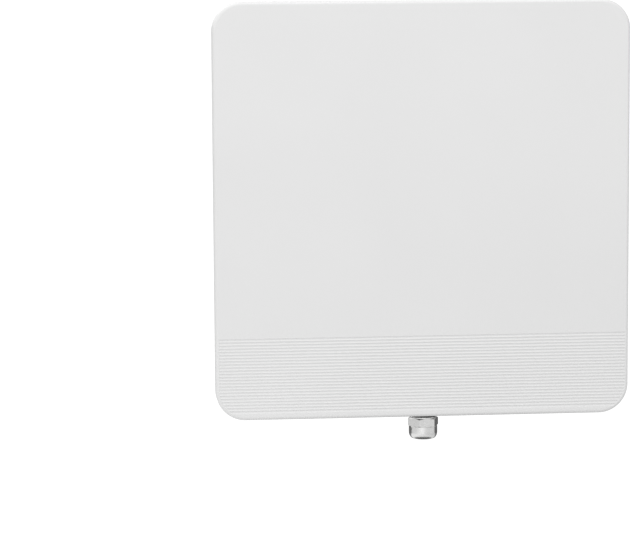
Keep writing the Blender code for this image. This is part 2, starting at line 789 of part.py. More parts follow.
def add_gland_seal(parent, material):
    """The rubber grommet that closes on the cable, in the spigot's mouth."""
    top, lip = -SPIGOT_END + SEAL_LENGTH, -SPIGOT_END - GAP
    end = lip - SEAL_LIP
    bore, rim = BODY_BORE - GAP, SPIGOT_RADIUS - GAP
    levels = [(SEAL_HOLE, top), (bore, top), (bore, lip), (rim, lip), (rim, end), (SEAL_HOLE, end)]
    add_part("gland_seal", turned(levels, GLAND_STEPS, True), material, GLAND_AT, parent)


def slip_ring_levels():
    top = -SPIGOT_END - 2 * GAP - SEAL_LIP
    return top, top - 0.001


def add_gland_slip_ring(parent, material):
    """The washer that lets the nut turn while the grommet stays still."""
    top, bottom = slip_ring_levels()
    inner, outer = NUT_EXIT + 0.0002, NUT_BORE - 0.0004
    levels = [(inner, top), (outer, top), (outer, bottom), (inner, bottom)]
    add_part("gland_slip_ring", turned(levels, GLAND_STEPS, True), material, GLAND_AT, parent)


def add_gland_nut(parent, material):
    """The domed cap nut."""
    hex_end = NUT_TOP + NUT_HEX_HEIGHT
    end = NUT_TOP + NUT_LENGTH
    shoulder = -slip_ring_levels()[1] + GAP
    collar_end = -NUT_TOP - NUT_COLLAR_HEIGHT
    levels = [(NUT_BORE, -NUT_TOP), (NUT_COLLAR_RADIUS, -NUT_TOP), (NUT_COLLAR_RADIUS, collar_end)]
    levels += [(HEX_CORNER, collar_end - NUT_COLLAR_HEIGHT, HEX_FLATS), (HEX_CORNER, -hex_end, HEX_FLATS)]
    levels += [(DOME_RADIUS, -hex_end - 0.0004)]
    squeeze = DOME_RADIUS - DOME_RIM_RADIUS
    for step in range(5):
        angle = step / 4 * math.pi / 2
        radius = DOME_RIM_RADIUS + squeeze * math.cos(angle)
        levels.append((radius, -end + DOME_ROUNDING * (1 - math.sin(angle))))
    levels += [(NUT_EXIT, -end), (NUT_EXIT, -shoulder), (NUT_BORE, -shoulder)]
    shape = turned(levels, GLAND_STEPS, True, HEX_TURN - math.pi / 2)
    add_part("gland_nut", shape, material, GLAND_AT, parent)


def add_vent_plug(parent, material):
    """The breather screw in the bottom wall."""
    at = PANEL_AT + Vector((VENT_X, VENT_DEPTH, BOTTOM_WALL_Z))
    bore, shank, head, flats, chamfered = 0.001, 0.0048, 0.0068, 0.0122, 0.0052
    levels = [(bore, 0.004), (shank, 0.004), (shank, -GAP), (head, -GAP, flats)]
    levels += [(head, -0.0045, flats), (chamfered, -0.0055), (bore, -0.0055)]
    add_part("vent_plug", turned(levels, 24, True), material, at, parent)


def add_ground_fittings(parent, steel):
    """The earth screw and its washer in the bottom wall."""
    at = PANEL_AT + Vector((GROUND_X, GROUND_DEPTH, BOTTOM_WALL_Z))
    hole, rim, top, bottom = GROUND_HOLE_RADIUS, 0.006, -GAP, -GAP - 0.001
    washer = [(hole, top), (rim, top), (rim, bottom), (hole, bottom)]
    add_part("ground_washer", turned(washer, 20, True), steel, at, parent)
    shank, head, flats, seat = 0.0022, 0.0046, 0.008, bottom - GAP
    screw = [(0, 0.006), (shank, 0.006), (shank, seat), (head, seat, flats)]
    screw += [(head, -0.005, flats), (0.0036, -0.0056), (0, -0.0056)]
    add_part("ground_screw", turned(screw, 24), steel, at, parent)


# ---------------------------------------------------------------- brackets


def behind(depth):
    """The world y of a depth."""
    return depth - REACH


def add_panel_bracket(parent, material):
    """The channel bolted to the housing, whose ears carry the tilt bolts."""
    half = PANEL_WEB_HALF_HEIGHT
    web = block((-PANEL_EAR_OUTER, PANEL_WEB_FRONT, -half), (PANEL_EAR_OUTER, PANEL_WEB_BACK, half))
    part = add_part("panel_bracket", web, material, PANEL_AT, parent)
    root = PANEL_WEB_FRONT + 0.0005
    outline = [(root, -0.052), (root, 0.046)]
    outline += arc((PIVOT_DEPTH, PIVOT_Z), PIVOT_EAR_RADIUS, 0, 2 * math.pi, 18)[:-1]
    for side in (-1, 1):
        angle = -math.pi / 2 + side * TILT_LIMIT
        centre = arc((PIVOT_DEPTH, PIVOT_Z), LOCK_RADIUS, angle, angle, 1)[0]
        outline += arc(centre, SLOT_EAR_RADIUS, 0, 2 * math.pi, 14)[:-1]
    ears = []
    for side in (-1, 1):
        inner, outer = sorted((side * PANEL_EAR_OUTER, side * (PANEL_EAR_OUTER - SHEET)))
        ears.append(side_prism(hull(outline), inner, outer))
    join(part, gathered(ears))
    side = PANEL_EAR_OUTER + THROUGH
    cuts = [rod((-side, PIVOT_DEPTH, PIVOT_Z), SIDEWAYS, 2 * side, BOLT_HOLE_RADIUS, 14)]
    cuts.append(side_prism(tilt_slot(), -side, side))
    for x, z in BRACKET_BOLT_PLACES:
        start = (x, PANEL_WEB_FRONT - THROUGH, z)
        cuts.append(rod(start, BACKWARD, SHEET + 2 * THROUGH, M6_HOLE_RADIUS, 12))
    cut(part, gathered(cuts))


def tilt_slot():
    """The lock bolt's slot, an arc about the pivot."""
    half = BOLT_HOLE_RADIUS + 0.0002
    centre = (PIVOT_DEPTH, PIVOT_Z)
    low, high = -math.pi / 2 - TILT_LIMIT, -math.pi / 2 + TILT_LIMIT
    end = arc(centre, LOCK_RADIUS, high, high, 1)[0]
    start = arc(centre, LOCK_RADIUS, low, low, 1)[0]
    outline = arc(centre, LOCK_RADIUS + half, low, high, 8)
    outline += arc(end, half, high, high + math.pi, 8)[1:-1]
    outline += arc(centre, LOCK_RADIUS - half, high, low, 8)
    outline += arc(start, half, low + math.pi, low + 2 * math.pi, 8)[1:-1]
    return outline


def add_bracket_bolts(parent, material):
    """Flanged hexagon bolts through the panel bracket into the housing's bosses."""
    corner, flats, flange, shank, length = 0.0056, 0.010, 0.007, 0.0029, 0.011
    levels = [(0, 0.0056), (0.0046, 0.0056), (corner, 0.005, flats), (corner, 0.0012, flats)]
    levels += [(flange, 0.0009), (flange, 0), (shank, 0), (shank, -length), (0, -length)]
    names = [f"bracket_bolt_{i + 1}" for i in range(len(BRACKET_BOLT_PLACES))]
    places = [PANEL_AT + Vector((x, PANEL_WEB_BACK + GAP, z)) for x, z in BRACKET_BOLT_PLACES]
    add_copies(names, upright(turned(levels, 12), BACKWARD), material, places, parent)


def tilt_bolt_places():
    return {"pivot_bolt": (PIVOT_DEPTH, PIVOT_Z), "lock_bolt": (PIVOT_DEPTH, PIVOT_Z - LOCK_RADIUS)}


def add_mast_bracket(parent, material):
    """The channel clamped to the mast or screwed to a wall, inside the panel bracket's ears."""
    half = MAST_WEB_HALF_HEIGHT
    web = block((-MAST_EAR_OUTER, -SHEET, -half), (MAST_EAR_OUTER, 0, half))
    part = add_part("mast_bracket", web, material, Vector((0, 0, 0)), parent)
    outline = [(-0.0005, -0.046), (-0.0005, 0.042)]
    outline += arc((behind(PIVOT_DEPTH), PIVOT_Z), PIVOT_EAR_RADIUS, 0, 2 * math.pi, 18)[:-1]
    outline += arc((behind(PIVOT_DEPTH), PIVOT_Z - LOCK_RADIUS), LOCK_EAR_RADIUS, 0, 2 * math.pi, 16)[:-1]
    ears = []
    collars = []
    for side in (-1, 1):
        inner, outer = sorted((side * MAST_EAR_OUTER, side * (MAST_EAR_OUTER - SHEET)))
        ears.append(side_prism(hull(outline), inner, outer))
        for depth, z in tilt_bolt_places().values():
            start = (side * (MAST_EAR_OUTER - SHEET / 2), behind(depth), z)
            collars.append(rod(start, -side * SIDEWAYS, SHEET / 2 + CLINCH_HEIGHT, CLINCH_RADIUS, 12))
    join(part, gathered(ears))
    join(part, gathered(collars))
    side = MAST_EAR_OUTER + THROUGH
    cuts = []
    for depth, z in tilt_bolt_places().values():
        cuts.append(rod((-side, behind(depth), z), SIDEWAYS, 2 * side, BOLT_HOLE_RADIUS, 14))
    front, length = -SHEET - THROUGH, SHEET + 2 * THROUGH
    for x in (-U_BOLT_BEND, U_BOLT_BEND):
        for z in (-U_BOLT_Z, U_BOLT_Z):
            cuts.append(rod((x, front, z), BACKWARD, length, U_BOLT_HOLE_RADIUS, 12))
    for x, z in WALL_HOLE_PLACES:
        cuts.append(rod((x, front, z), BACKWARD, length, M6_HOLE_RADIUS, 10))
    cut(part, gathered(cuts))


def add_tilt_bolts(parent, material):
    """The two pivot bolts and the two lock bolts, one of each per side."""
    corner, flats, flange, length = 0.0073, 0.013, 0.0088, 0.0125
    levels = [(0, 0.0078), (0.0064, 0.0078), (corner, 0.0072, flats), (corner, 0.0016, flats)]
    levels += [(flange, 0.0012), (flange, 0), (BOLT_RADIUS, 0), (BOLT_RADIUS, -length), (0, -length)]
    for name, (depth, z) in tilt_bolt_places().items():
        for side, word in ((-1, "left"), (1, "right")):
            place = Vector((side * (PANEL_EAR_OUTER + GAP), behind(depth), z))
            shape = upright(turned(levels, 12), side * SIDEWAYS)
            add_part(f"{name}_{word}", shape, material, place, parent)


def mast_centre():
    """How far the mast's axis stands behind the mast bracket's rear face."""
    slope = math.atan2(SADDLE_TOP - SADDLE_APEX, SADDLE_HALF_WIDTH - SADDLE_LIP)
    return behind(SADDLE_APEX) + MAST_RADIUS / math.cos(slope)


def add_mast_saddles(parent, material):
    """Cast V blocks between the bracket and the mast, one behind each U-bolt."""
    flat = SADDLE_HALF_WIDTH - SADDLE_LIP
    base, top, apex = GAP, behind(SADDLE_TOP), behind(SADDLE_APEX)
    half = SADDLE_HALF_WIDTH
    outline = [(-half, base), (half, base), (half, top), (flat, top), (0, apex), (-flat, top), (-half, top)]
    for name, z in (("mast_saddle_upper", U_BOLT_Z), ("mast_saddle_lower", -U_BOLT_Z)):
        shape = prism(outline, -SADDLE_HALF_HEIGHT, SADDLE_HALF_HEIGHT)
        add_part(name, shape, material, Vector((0, 0, z)), parent)


def add_u_bolts(parent, material):
    """Bent rods round the mast, with both legs through the bracket."""
    bend_y = mast_centre()
    path = [(-U_BOLT_BEND, behind(U_BOLT_FRONT), math.pi)]
    for step in range(BEND_STEPS + 1):
        angle = math.pi - step / BEND_STEPS * math.pi
        path.append((U_BOLT_BEND * math.cos(angle), bend_y + U_BOLT_BEND * math.sin(angle), angle))
    path.append((U_BOLT_BEND, behind(U_BOLT_FRONT), 0.0))
    rows = []
    for x, y, angle in path:
        outward = Vector((math.cos(angle), math.sin(angle), 0))
        row = []
        for step in range(WIRE_STEPS):
            turn = step / WIRE_STEPS * 2 * math.pi
            across = outward * math.cos(turn) + UPWARD * math.sin(turn)
            row.append(Vector((x, y, 0)) + U_BOLT_WIRE * across)
        rows.append(row)
    places = [Vector((0, 0, U_BOLT_Z)), Vector((0, 0, -U_BOLT_Z))]
    add_copies(["u_bolt_upper", "u_bolt_lower"], closed_shape(rows, False), material, places, parent)


def add_u_bolt_nuts(parent, material):
    """Flanged nuts on the U-bolts' legs, in front of the mast bracket's web."""
    bore, flange, corner, flats = U_BOLT_WIRE + GAP, 0.0088, 0.0073, 0.013
    levels = [(bore, 0), (flange, 0), (flange, 0.0012), (corner, 0.0016, flats)]
    levels += [(corner, 0.0072, flats), (0.0062, 0.008), (bore, 0.008)]
    places = []
    for z in (U_BOLT_Z, -U_BOLT_Z):
        for x in (-U_BOLT_BEND, U_BOLT_BEND):
            places.append(Vector((x, -SHEET - GAP, z)))
    names = [f"u_bolt_nut_{i + 1}" for i in range(len(places))]
    add_copies(names, upright(turned(levels, 12, True), FRONTWARD), material, places, parent)


# ---------------------------------------------------------------- assembly


def clear_scene():
    for thing in list(bpy.data.objects):
        bpy.data.objects.remove(thing)


def main():
    clear_scene()
    mast_clamp = add_axis("mast_clamp", Vector((0, 0, 0)))
    tilt_axis = add_axis("tilt_axis", PIVOT_AT, mast_clamp)
    gland_axis = add_axis("gland_axis", GLAND_AT, tilt_axis)

    steel = stainless_steel()
    zinc = galvanised_steel()
    rubber = black_rubber()
    brass = nickel_brass()
    laminate = circuit_laminate()
    plastic = black_plastic()
    nylon = white_nylon()
    aluminium = bare_aluminium()

    add_radome(tilt_axis, radome_plastic())
    add_case_gasket(tilt_axis, rubber)
    add_rear_housing(tilt_axis, die_cast_paint())
    add_case_screws(tilt_axis, steel)

    add_antenna_board(tilt_axis, laminate)
    add_reflector_plate(tilt_axis, aluminium)
    add_antenna_spacers(tilt_axis, nylon)
    add_pigtails(tilt_axis, plastic)
    add_radio_board(tilt_axis, laminate)
    add_board_screws(tilt_axis, steel)
    add_shield_can(tilt_axis, steel)
    add_thermal_pad(tilt_axis, grey_pad())
    add_rj45_jack(tilt_axis, plastic)
    add_ethernet_transformer(tilt_axis, plastic)
    add_reset_switch(tilt_axis, plastic)
    add_reset_button(tilt_axis, nylon)

    add_gland_entry_washer(gland_axis, rubber)
    add_gland_body(gland_axis, brass)
    add_gland_o_ring(gland_axis, rubber)
    add_gland_seal(gland_axis, rubber)
    add_gland_slip_ring(gland_axis, nylon)
    add_gland_nut(gland_axis, brass)
    add_vent_plug(tilt_axis, plastic)
    add_ground_fittings(tilt_axis, steel)

    add_panel_bracket(tilt_axis, zinc)
    add_bracket_bolts(tilt_axis, steel)
    add_mast_bracket(mast_clamp, zinc)
    add_tilt_bolts(mast_clamp, steel)
    add_mast_saddles(mast_clamp, aluminium)
    add_u_bolts(mast_clamp, steel)
    add_u_bolt_nuts(mast_clamp, steel)


main()
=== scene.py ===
"""Looks of the outdoor wireless bridge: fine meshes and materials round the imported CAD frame.

Every fine piece takes its place and size from its CAD node's box. Units are metres, +Z is up, the
panel faces -Y and everything stands at rest. The pieces are closed solids built in mesh code.
Levels are the (radius, height) pairs of a turned shape. A tray's profile is made of pairs too: how
far it is drawn in from the panel's side, and how far it is behind the panel's front.
"""

import json
from math import atan2, copysign, cos, pi, radians, sin

import bmesh
import bpy
from mathutils import Matrix, Vector


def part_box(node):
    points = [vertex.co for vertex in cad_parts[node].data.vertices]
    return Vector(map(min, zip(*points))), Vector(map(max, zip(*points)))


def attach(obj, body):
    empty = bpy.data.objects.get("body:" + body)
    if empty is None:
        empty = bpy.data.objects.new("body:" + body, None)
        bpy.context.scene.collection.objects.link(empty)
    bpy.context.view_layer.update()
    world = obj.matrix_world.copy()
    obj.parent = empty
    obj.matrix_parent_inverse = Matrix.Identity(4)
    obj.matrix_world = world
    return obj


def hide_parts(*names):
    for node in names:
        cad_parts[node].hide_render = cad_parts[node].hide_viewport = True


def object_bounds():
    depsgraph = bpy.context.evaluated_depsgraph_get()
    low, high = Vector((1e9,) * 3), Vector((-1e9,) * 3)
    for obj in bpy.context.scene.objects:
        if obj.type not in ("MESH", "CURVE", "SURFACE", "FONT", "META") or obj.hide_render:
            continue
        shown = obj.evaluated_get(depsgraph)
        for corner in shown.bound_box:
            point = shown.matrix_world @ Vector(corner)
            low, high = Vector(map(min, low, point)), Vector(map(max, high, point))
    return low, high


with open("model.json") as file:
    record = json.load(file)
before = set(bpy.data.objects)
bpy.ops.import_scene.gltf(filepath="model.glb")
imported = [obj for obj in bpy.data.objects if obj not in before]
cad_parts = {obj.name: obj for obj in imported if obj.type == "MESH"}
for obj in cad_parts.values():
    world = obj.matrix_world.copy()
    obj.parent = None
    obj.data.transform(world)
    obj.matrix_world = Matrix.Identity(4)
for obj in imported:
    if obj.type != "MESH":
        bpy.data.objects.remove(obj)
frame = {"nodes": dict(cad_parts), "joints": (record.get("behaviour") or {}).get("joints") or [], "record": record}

cad_low, cad_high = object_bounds()

# ---- sizes read from the frame


def corners_of(node):
    """The lowest and highest corner of a CAD node's box."""
    low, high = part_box(node)
    return Vector(low), Vector(high)


def centre_of(node):
    """The middle of a CAD node's box."""
    low, high = corners_of(node)
    return (low + high) / 2


def heights(node):
    """The lowest and highest Z of a CAD node."""
    low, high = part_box(node)
    return low[2], high[2]


def depths(node):
    """The foremost and rearmost Y of a CAD node."""
    low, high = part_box(node)
    return low[1], high[1]


def in_line(node, y):
    """The point at a depth on the fore and aft line through a CAD node's middle."""
    centre = centre_of(node)
    return centre.x, y, centre.z


def family(prefix):
    """The CAD nodes whose names start alike, in order."""
    return sorted(name for name in frame["nodes"] if name.startswith(prefix))


PANEL_LOW, PANEL_HIGH = corners_of("radome")
CASE_LOW, CASE_HIGH = corners_of("rear_housing")
FRONT_Y = PANEL_LOW.y
PANEL_HALF = PANEL_HIGH.x
RADOME_DEPTH = PANEL_HIGH.y - PANEL_LOW.y
JOINTS = {joint["name"]: joint for joint in frame["joints"]}
PIVOT = Vector(JOINTS["tilt"]["pos_m"])
GLAND_AXIS = Vector(JOINTS["gland_nut_turn"]["pos_m"])
GLAND_FOOT = (GLAND_AXIS.x, GLAND_AXIS.y, 0)
TILT_LIMIT = radians(JOINTS["tilt"]["range_deg"][1])

# A gap between pieces, how far a cutter or a joined piece reaches past a face, and fine edges
SCREW_GAP = 0.0003
PAST = 0.001
EDGE_BEVEL = 0.0003
BEVEL_SEGMENTS = 2
SHARP_ANGLE = radians(32)

# Radome
CORNER_RADIUS = 0.0235
CORNER_STEPS = 20
EDGE_FILLET = 0.0028
FILLET_STEPS = 10
RADOME_WALL = 0.0025
RADOME_INNER_FILLET = 0.002
LEDGE_WIDTH = 0.015
LEDGE_THICKNESS = 0.0045

# The flutes: the groove's share of the pitch, how far above its middle it is deepest as a share of
# its half width, where it runs out from the panel's side, and the run-out's inset for each depth
FLUTE_COUNT = 24
FLUTE_PITCH = 0.0025
LOWEST_FLUTE = 0.0067
FLUTE_DEPTH = 0.0005
FLUTE_SHARE = 0.96
FLUTE_DEEPEST = 0.3
FLUTE_END = 0.0023
FLUTE_RUN_OUT = 2
FLUTE_STEPS = 10

# Housing
FLANGE_THICKNESS = 0.004
WALL = 0.003
WALL_INSET = 0.013
WALL_DRAFT = 0.0025
WALL_ROOT_FILLET = 0.0018
CAVITY_INSET = 0.017
CAVITY_DRAFT = 0.0015
GASKET_INSET = 0.0143
BACK_FILLET = 0.004
BACK_DEPTH = 0.046
FIN_TIP_DEPTH = 0.054
FIN_COUNT = 24
FIN_PITCH = 0.012
FIN_ROOT = 0.0024
FIN_TIP = 0.0015
FIN_HALF_LENGTH = 0.135
FIN_RUN_OUT = 0.006
POST_RADIUS = 0.0045
POST_HOLE_RADIUS = 0.0017
CASE_HOLE_RADIUS = 0.0018

# Gland
GLAND_BOSS_TOP = -0.1488
GLAND_BOSS_FACE = heights("gland_entry_washer")[1] + SCREW_GAP
GLAND_FLATS = 0.022
NUT_HEX_HEIGHT = 0.0075
NUT_TURN = radians(-111)

# Sheet brackets, and the clearance holes in them
SHEET = 0.0025
BEND_RADIUS = 0.003
BEND_STEPS = 8
PIVOT_EAR = 0.013
EAR_STEPS = 72
M6_HOLE_RADIUS = 0.0033
M8_HOLE_RADIUS = 0.0043
SLOT_HALF = 0.0045
SLOT_STEPS = 14
WALL_HOLES = [(x, z) for x in (-0.018, 0.018) for z in (-0.014, 0.014)]

# Threads: their depth as a share of the pitch, and how many rows of points make one turn
THREAD_DEPTH = 0.6
THREAD_ROWS = 6

UP = Vector((0, 0, 1))
BACKWARD = Vector((0, 1, 0))

# ---- outlines in a plane


def around(centre, radius, angle):
    """The point at an angle on a circle."""
    return centre[0] + radius * cos(angle), centre[1] + radius * sin(angle)


def arc(centre, radius, start, end, steps):
    """Points on a circle from one angle to another, both ends included."""
    span = end - start
    return [around(centre, radius, start + span * step / steps) for step in range(steps + 1)]


def circle(radius, steps, centre=(0, 0), turn=0.0):
    """Points all round a circle, the first one turned away from X."""
    return arc(centre, radius, turn, turn + 2 * pi, steps)[:-1]


def hexagon_corner(flats):
    """How far a hexagon's corners are from its middle."""
    return flats / 2 / cos(pi / 6)


def hexagon(flats, turn=0.0):
    return circle(hexagon_corner(flats), 6, turn=turn)


def hull(points):
    """The convex outline round points."""
    ordered = sorted(set(points))

    def half(run):
        kept = []
        for point in run:
            while len(kept) > 1:
                (ax, ay), (bx, by) = kept[-2:]
                if (bx - ax) * (point[1] - ay) - (by - ay) * (point[0] - ax) > 1e-12:
                    break
                kept.pop()
            kept.append(point)
        return kept[:-1]

    return half(ordered) + half(ordered[::-1])


# ---- shapes


def closed_shape(rows, joined_ends=False):
    """A closed bmesh from rows of points.

    A row of one point is a tip. An end row of more is capped, unless the ends are joined in a ring.
    """
    shape = bmesh.new()
    made = [[shape.verts.new(point) for point in row] for row in rows]
    pairs = list(zip(made, made[1:]))
    if joined_ends:
        pairs.append((made[-1], made[0]))
    for first, second in pairs:
        count = max(len(first), len(second))
        for i in range(count):
            j = (i + 1) % count
            corners = [first[i % len(first)], first[j % len(first)]]
            corners += [second[j % len(second)], second[i % len(second)]]
            shape.faces.new(dict.fromkeys(corners))
    if not joined_ends:
        for row in (made[0], made[-1]):
            if len(row) > 2:
                shape.faces.new(row)
    bmesh.ops.recalc_face_normals(shape, faces=shape.faces)
    return shape


def turned(levels, steps=64, joined_ends=False):
    """A shape about Z from (radius, height) levels."""
    rows = []
    for radius, height in levels:
        ring = circle(radius, steps) if radius else [(0, 0)]
        rows.append([Vector((x, y, height)) for x, y in ring])
    return closed_shape(rows, joined_ends)


def prism(outline, low, high, axis="z"):
    """An outline, in the other two axes, extruded between two values of an axis."""
    at = "xyz".index(axis)
    ends = [[Vector((*point[:at], value, *point[at:])) for point in outline]
            for value in (low, high)]
    return closed_shape(ends)


def placed(shape, axis, at):
    """The shape with its own Z turned to axis, and moved to a point."""
    turn = UP.rotation_difference(Vector(axis)).to_matrix()
    bmesh.ops.rotate(shape, verts=shape.verts, cent=(0, 0, 0), matrix=turn)
    bmesh.ops.translate(shape, verts=shape.verts, vec=Vector(at))
    return shape


def rod(start, axis, length, radius, steps=32):
    """A cylinder from a point along an axis."""
    levels = [(0, 0), (radius, 0), (radius, length), (0, length)]
    return placed(turned(levels, steps), axis, start)


def rods(prefix, y, axis, length, radius, steps):
    """Rods from a depth in line with every CAD node of a family."""
    return [rod(in_line(name, y), axis, length, radius, steps) for name in family(prefix)]


def gathered(shapes):
    """Separate shapes in one bmesh."""
    whole = bmesh.new()
    for shape in shapes:
        carrier = bpy.data.meshes.new("carrier")
        shape.to_mesh(carrier)
        shape.free()
        whole.from_mesh(carrier)
        bpy.data.meshes.remove(carrier)
    return whole


def tray(profile, joined_ends=False):
    """A shape from (inset, depth) pairs, each a round-cornered square drawn in by inset."""
    middle = PANEL_HALF - CORNER_RADIUS
    rows = []
    for inset, depth in profile:
        row = []
        for quarter, (side_x, side_z) in enumerate(((1, 1), (-1, 1), (-1, -1), (1, -1))):
            centre, start = (side_x * middle, side_z * middle), quarter * pi / 2
            corner = arc(centre, CORNER_RADIUS - inset, start, start + pi / 2, CORNER_STEPS)
            row += [Vector((x, FRONT_Y + depth, z)) for x, z in corner]
        rows.append(row)
    return closed_shape(rows, joined_ends)


def threaded_rod(radius, pitch, low, high, steps=20):
    """A rod along Z from low to high with a helical thread on it, running out at both ends."""
    count = max(int((high - low) / pitch * THREAD_ROWS), 2)
    rows = [[Vector((0, 0, low))]]
    for row_index in range(count + 1):
        height = low + (high - low) * row_index / count
        fade = min(1.0, (height - low) / pitch, (high - height) / pitch)
        row = []
        for step, (x, y) in enumerate(circle(1, steps)):
            phase = (height / pitch - step / steps) % 1.0
            valley = 1 - abs(2 * phase - 1)
            reach = radius - THREAD_DEPTH * pitch * (valley * fade + (1 - fade))
            row.append(Vector((reach * x, reach * y, height)))
        rows.append(row)
    rows.append([Vector((0, 0, high))])
    return closed_shape(rows)


# ---- objects


def in_scene(name, data):
    thing = bpy.data.objects.new(name, data)
    bpy.context.scene.collection.objects.link(thing)
    return thing


def mesh_object(name, shape):
    """An object in the scene with the shape as its mesh."""
    mesh = bpy.data.meshes.new(name)
    shape.to_mesh(mesh)
    shape.free()
    return in_scene(name, mesh)


def bake(thing):
    """Applies the object's modifiers to its mesh."""
    graph = bpy.context.evaluated_depsgraph_get()
    old = thing.data
    thing.data = bpy.data.meshes.new_from_object(thing.evaluated_get(graph))
    thing.modifiers.clear()
    bpy.data.meshes.remove(old)


def boolean(thing, shapes, operation):
    helper = mesh_object("helper", gathered(shapes))
    modifier = thing.modifiers.new(operation, "BOOLEAN")
    modifier.object = helper
    modifier.operation = operation
    modifier.solver = "EXACT"
    bake(thing)
    bpy.data.objects.remove(helper)


def cut(thing, *shapes):
    """Takes the shapes away from the object."""
    boolean(thing, shapes, "DIFFERENCE")


def join(thing, *shapes):
    """Adds the shapes to the object."""
    boolean(thing, shapes, "UNION")


def trim(thing, *shapes):
    """Keeps what the object and the shapes share."""
    boolean(thing, shapes, "INTERSECT")


def bevel(thing, angle):
    """Rounds the object's edges that turn by more than an angle in degrees."""
    modifier = thing.modifiers.new("edges", "BEVEL")
    modifier.width = EDGE_BEVEL
    modifier.segments = BEVEL_SEGMENTS
    modifier.limit_method = "ANGLE"
    modifier.angle_limit = radians(angle)
    bake(thing)


def put(thing, axis, at):
    """Moves a finished mesh so that its own Z points along axis from a point."""
    turn = UP.rotation_difference(Vector(axis)).to_matrix().to_4x4()
    thing.data.transform(Matrix.Translation(Vector(at)) @ turn)


def settle(thing, slot, body, node):
    """Gives a finished piece its slot's material and lets it ride a body in a CAD node's place."""
    thing.data.materials.clear()
    thing.data.materials.append(MATERIALS[slot])
    thing.data.shade_smooth()
    thing.data.set_sharp_from_angle(angle=SHARP_ANGLE)
    weighted = thing.modifiers.new("weighted_normals", "WEIGHTED_NORMAL")
    weighted.keep_sharp = True
    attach(thing, body)
    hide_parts(node)


def seats(prefix, height):
    """The (axis, point) of each rearward head of a family, from its height."""
    return {name: (BACKWARD, in_line(name, depths(name)[1] - height)) for name in family(prefix)}


def settle_copies(model, body, places):
    """Settles a steel copy of the model at each node's (axis, point), and drops the model."""
    for node, (axis, at) in places.items():
        twin = in_scene(f"{node}_fine", model.data.copy())
        put(twin, axis, at)
        settle(twin, "stainless_steel", body, node)
    bpy.data.objects.remove(model)


# ---- materials

# The colour mix node's sockets, by number because their names repeat
MIX_FACTOR, MIX_FIRST, MIX_SECOND, MIX_RESULT = 0, 6, 7, 2

SHADER_INPUTS = {
    "colour": "Base Color", "roughness": "Roughness", "metallic": "Metallic", "normal": "Normal",
    "specular": "Specular IOR Level", "subsurface": "Subsurface Weight",
    "glow": "Emission Strength", "glow_colour": "Emission Color",
}


def feed(tree, socket, value):
    """Links an input to a node's output, or sets it to a number, a vector or an opaque colour."""
    if isinstance(value, bpy.types.NodeSocket):
        tree.links.new(value, socket)
    elif isinstance(value, tuple):
        socket.default_value = (*value, 1.0)[:len(socket.default_value)]
    else:
        socket.default_value = value


def added(tree, kind, output, inputs, **settings):
    """An output of a new node, its settings made and its inputs linked or set."""
    made = tree.nodes.new(f"ShaderNode{kind}")
    for key, value in settings.items():
        setattr(made, key, value)
    for key, value in inputs.items():
        feed(tree, made.inputs[key], value)
    return made.outputs[output]


class Nodes:
    """Short hands for building one material's nodes."""

    def __init__(self, name):
        self.material = bpy.data.materials.new(name)
        self.material.use_nodes = True
        self.tree = self.material.node_tree
        self.place = added(self.tree, "TexCoord", "Object", {})

    def noise(self, scale, detail=2.0, roughness=0.5, place=None):
        """Smooth noise, its scale in cells per metre."""
        inputs = {"Scale": scale, "Detail": detail, "Roughness": roughness}
        return added(self.tree, "TexNoise", "Fac", {**inputs, "Vector": place or self.place})

    def voronoi(self, scale, output="Color"):
        """Cells, each with its own tone, or the distance from their middles."""
        return added(self.tree, "TexVoronoi", output, {"Scale": scale, "Vector": self.place})

    def stretched(self, factors):
        """The place scaled along each axis, to draw a pattern out."""
        return added(self.tree, "Mapping", "Vector", {"Scale": factors, "Vector": self.place})

    def ranged(self, value, low, high, start=0.0, end=1.0):
        """Low to high as the value goes from start to end."""
        inputs = {"Value": value, "From Min": start, "From Max": end, "To Min": low, "To Max": high}
        return added(self.tree, "MapRange", "Result", inputs)

    def mixed(self, factor, first, second):
        """A colour between two, each given or from a node."""
        inputs = {MIX_FACTOR: factor, MIX_FIRST: first, MIX_SECOND: second}
        return added(self.tree, "Mix", MIX_RESULT, inputs, data_type="RGBA")

    def measured(self, operation, vector):
        """The place's dot product with a vector, or its distance from it."""
        inputs = {0: self.place, 1: vector}
        return added(self.tree, "VectorMath", "Value", inputs, operation=operation)

    def product(self, first, second):
        return added(self.tree, "Math", "Value", {0: first, 1: second}, operation="MULTIPLY")

    def bump(self, height, distance, strength):
        """A normal from a pattern, whose full height is a distance in metres."""
        inputs = {"Height": height, "Distance": distance, "Strength": strength}
        return added(self.tree, "Bump", "Normal", inputs)

    def worn(self, colour, radius, share, bare):
        """The colour with a share of bare on edges, where a bevelled normal turns away."""
        inputs = {0: added(self.tree, "Bevel", "Normal", {"Radius": radius}),
                  1: added(self.tree, "NewGeometry", "Normal", {})}
        dot = added(self.tree, "VectorMath", "Value", inputs, operation="DOT_PRODUCT")
        edge = self.ranged(dot, 1.0, 0.0, 0.8, 0.99)
        return self.mixed(self.ranged(edge, 0.0, share), colour, bare)

    def set(self, **values):
        """Feeds the shader and returns the material."""
        shader = self.tree.nodes["Principled BSDF"]
        for key, value in values.items():
            feed(self.tree, shader.inputs[SHADER_INPUTS[key]], value)
        return self.material


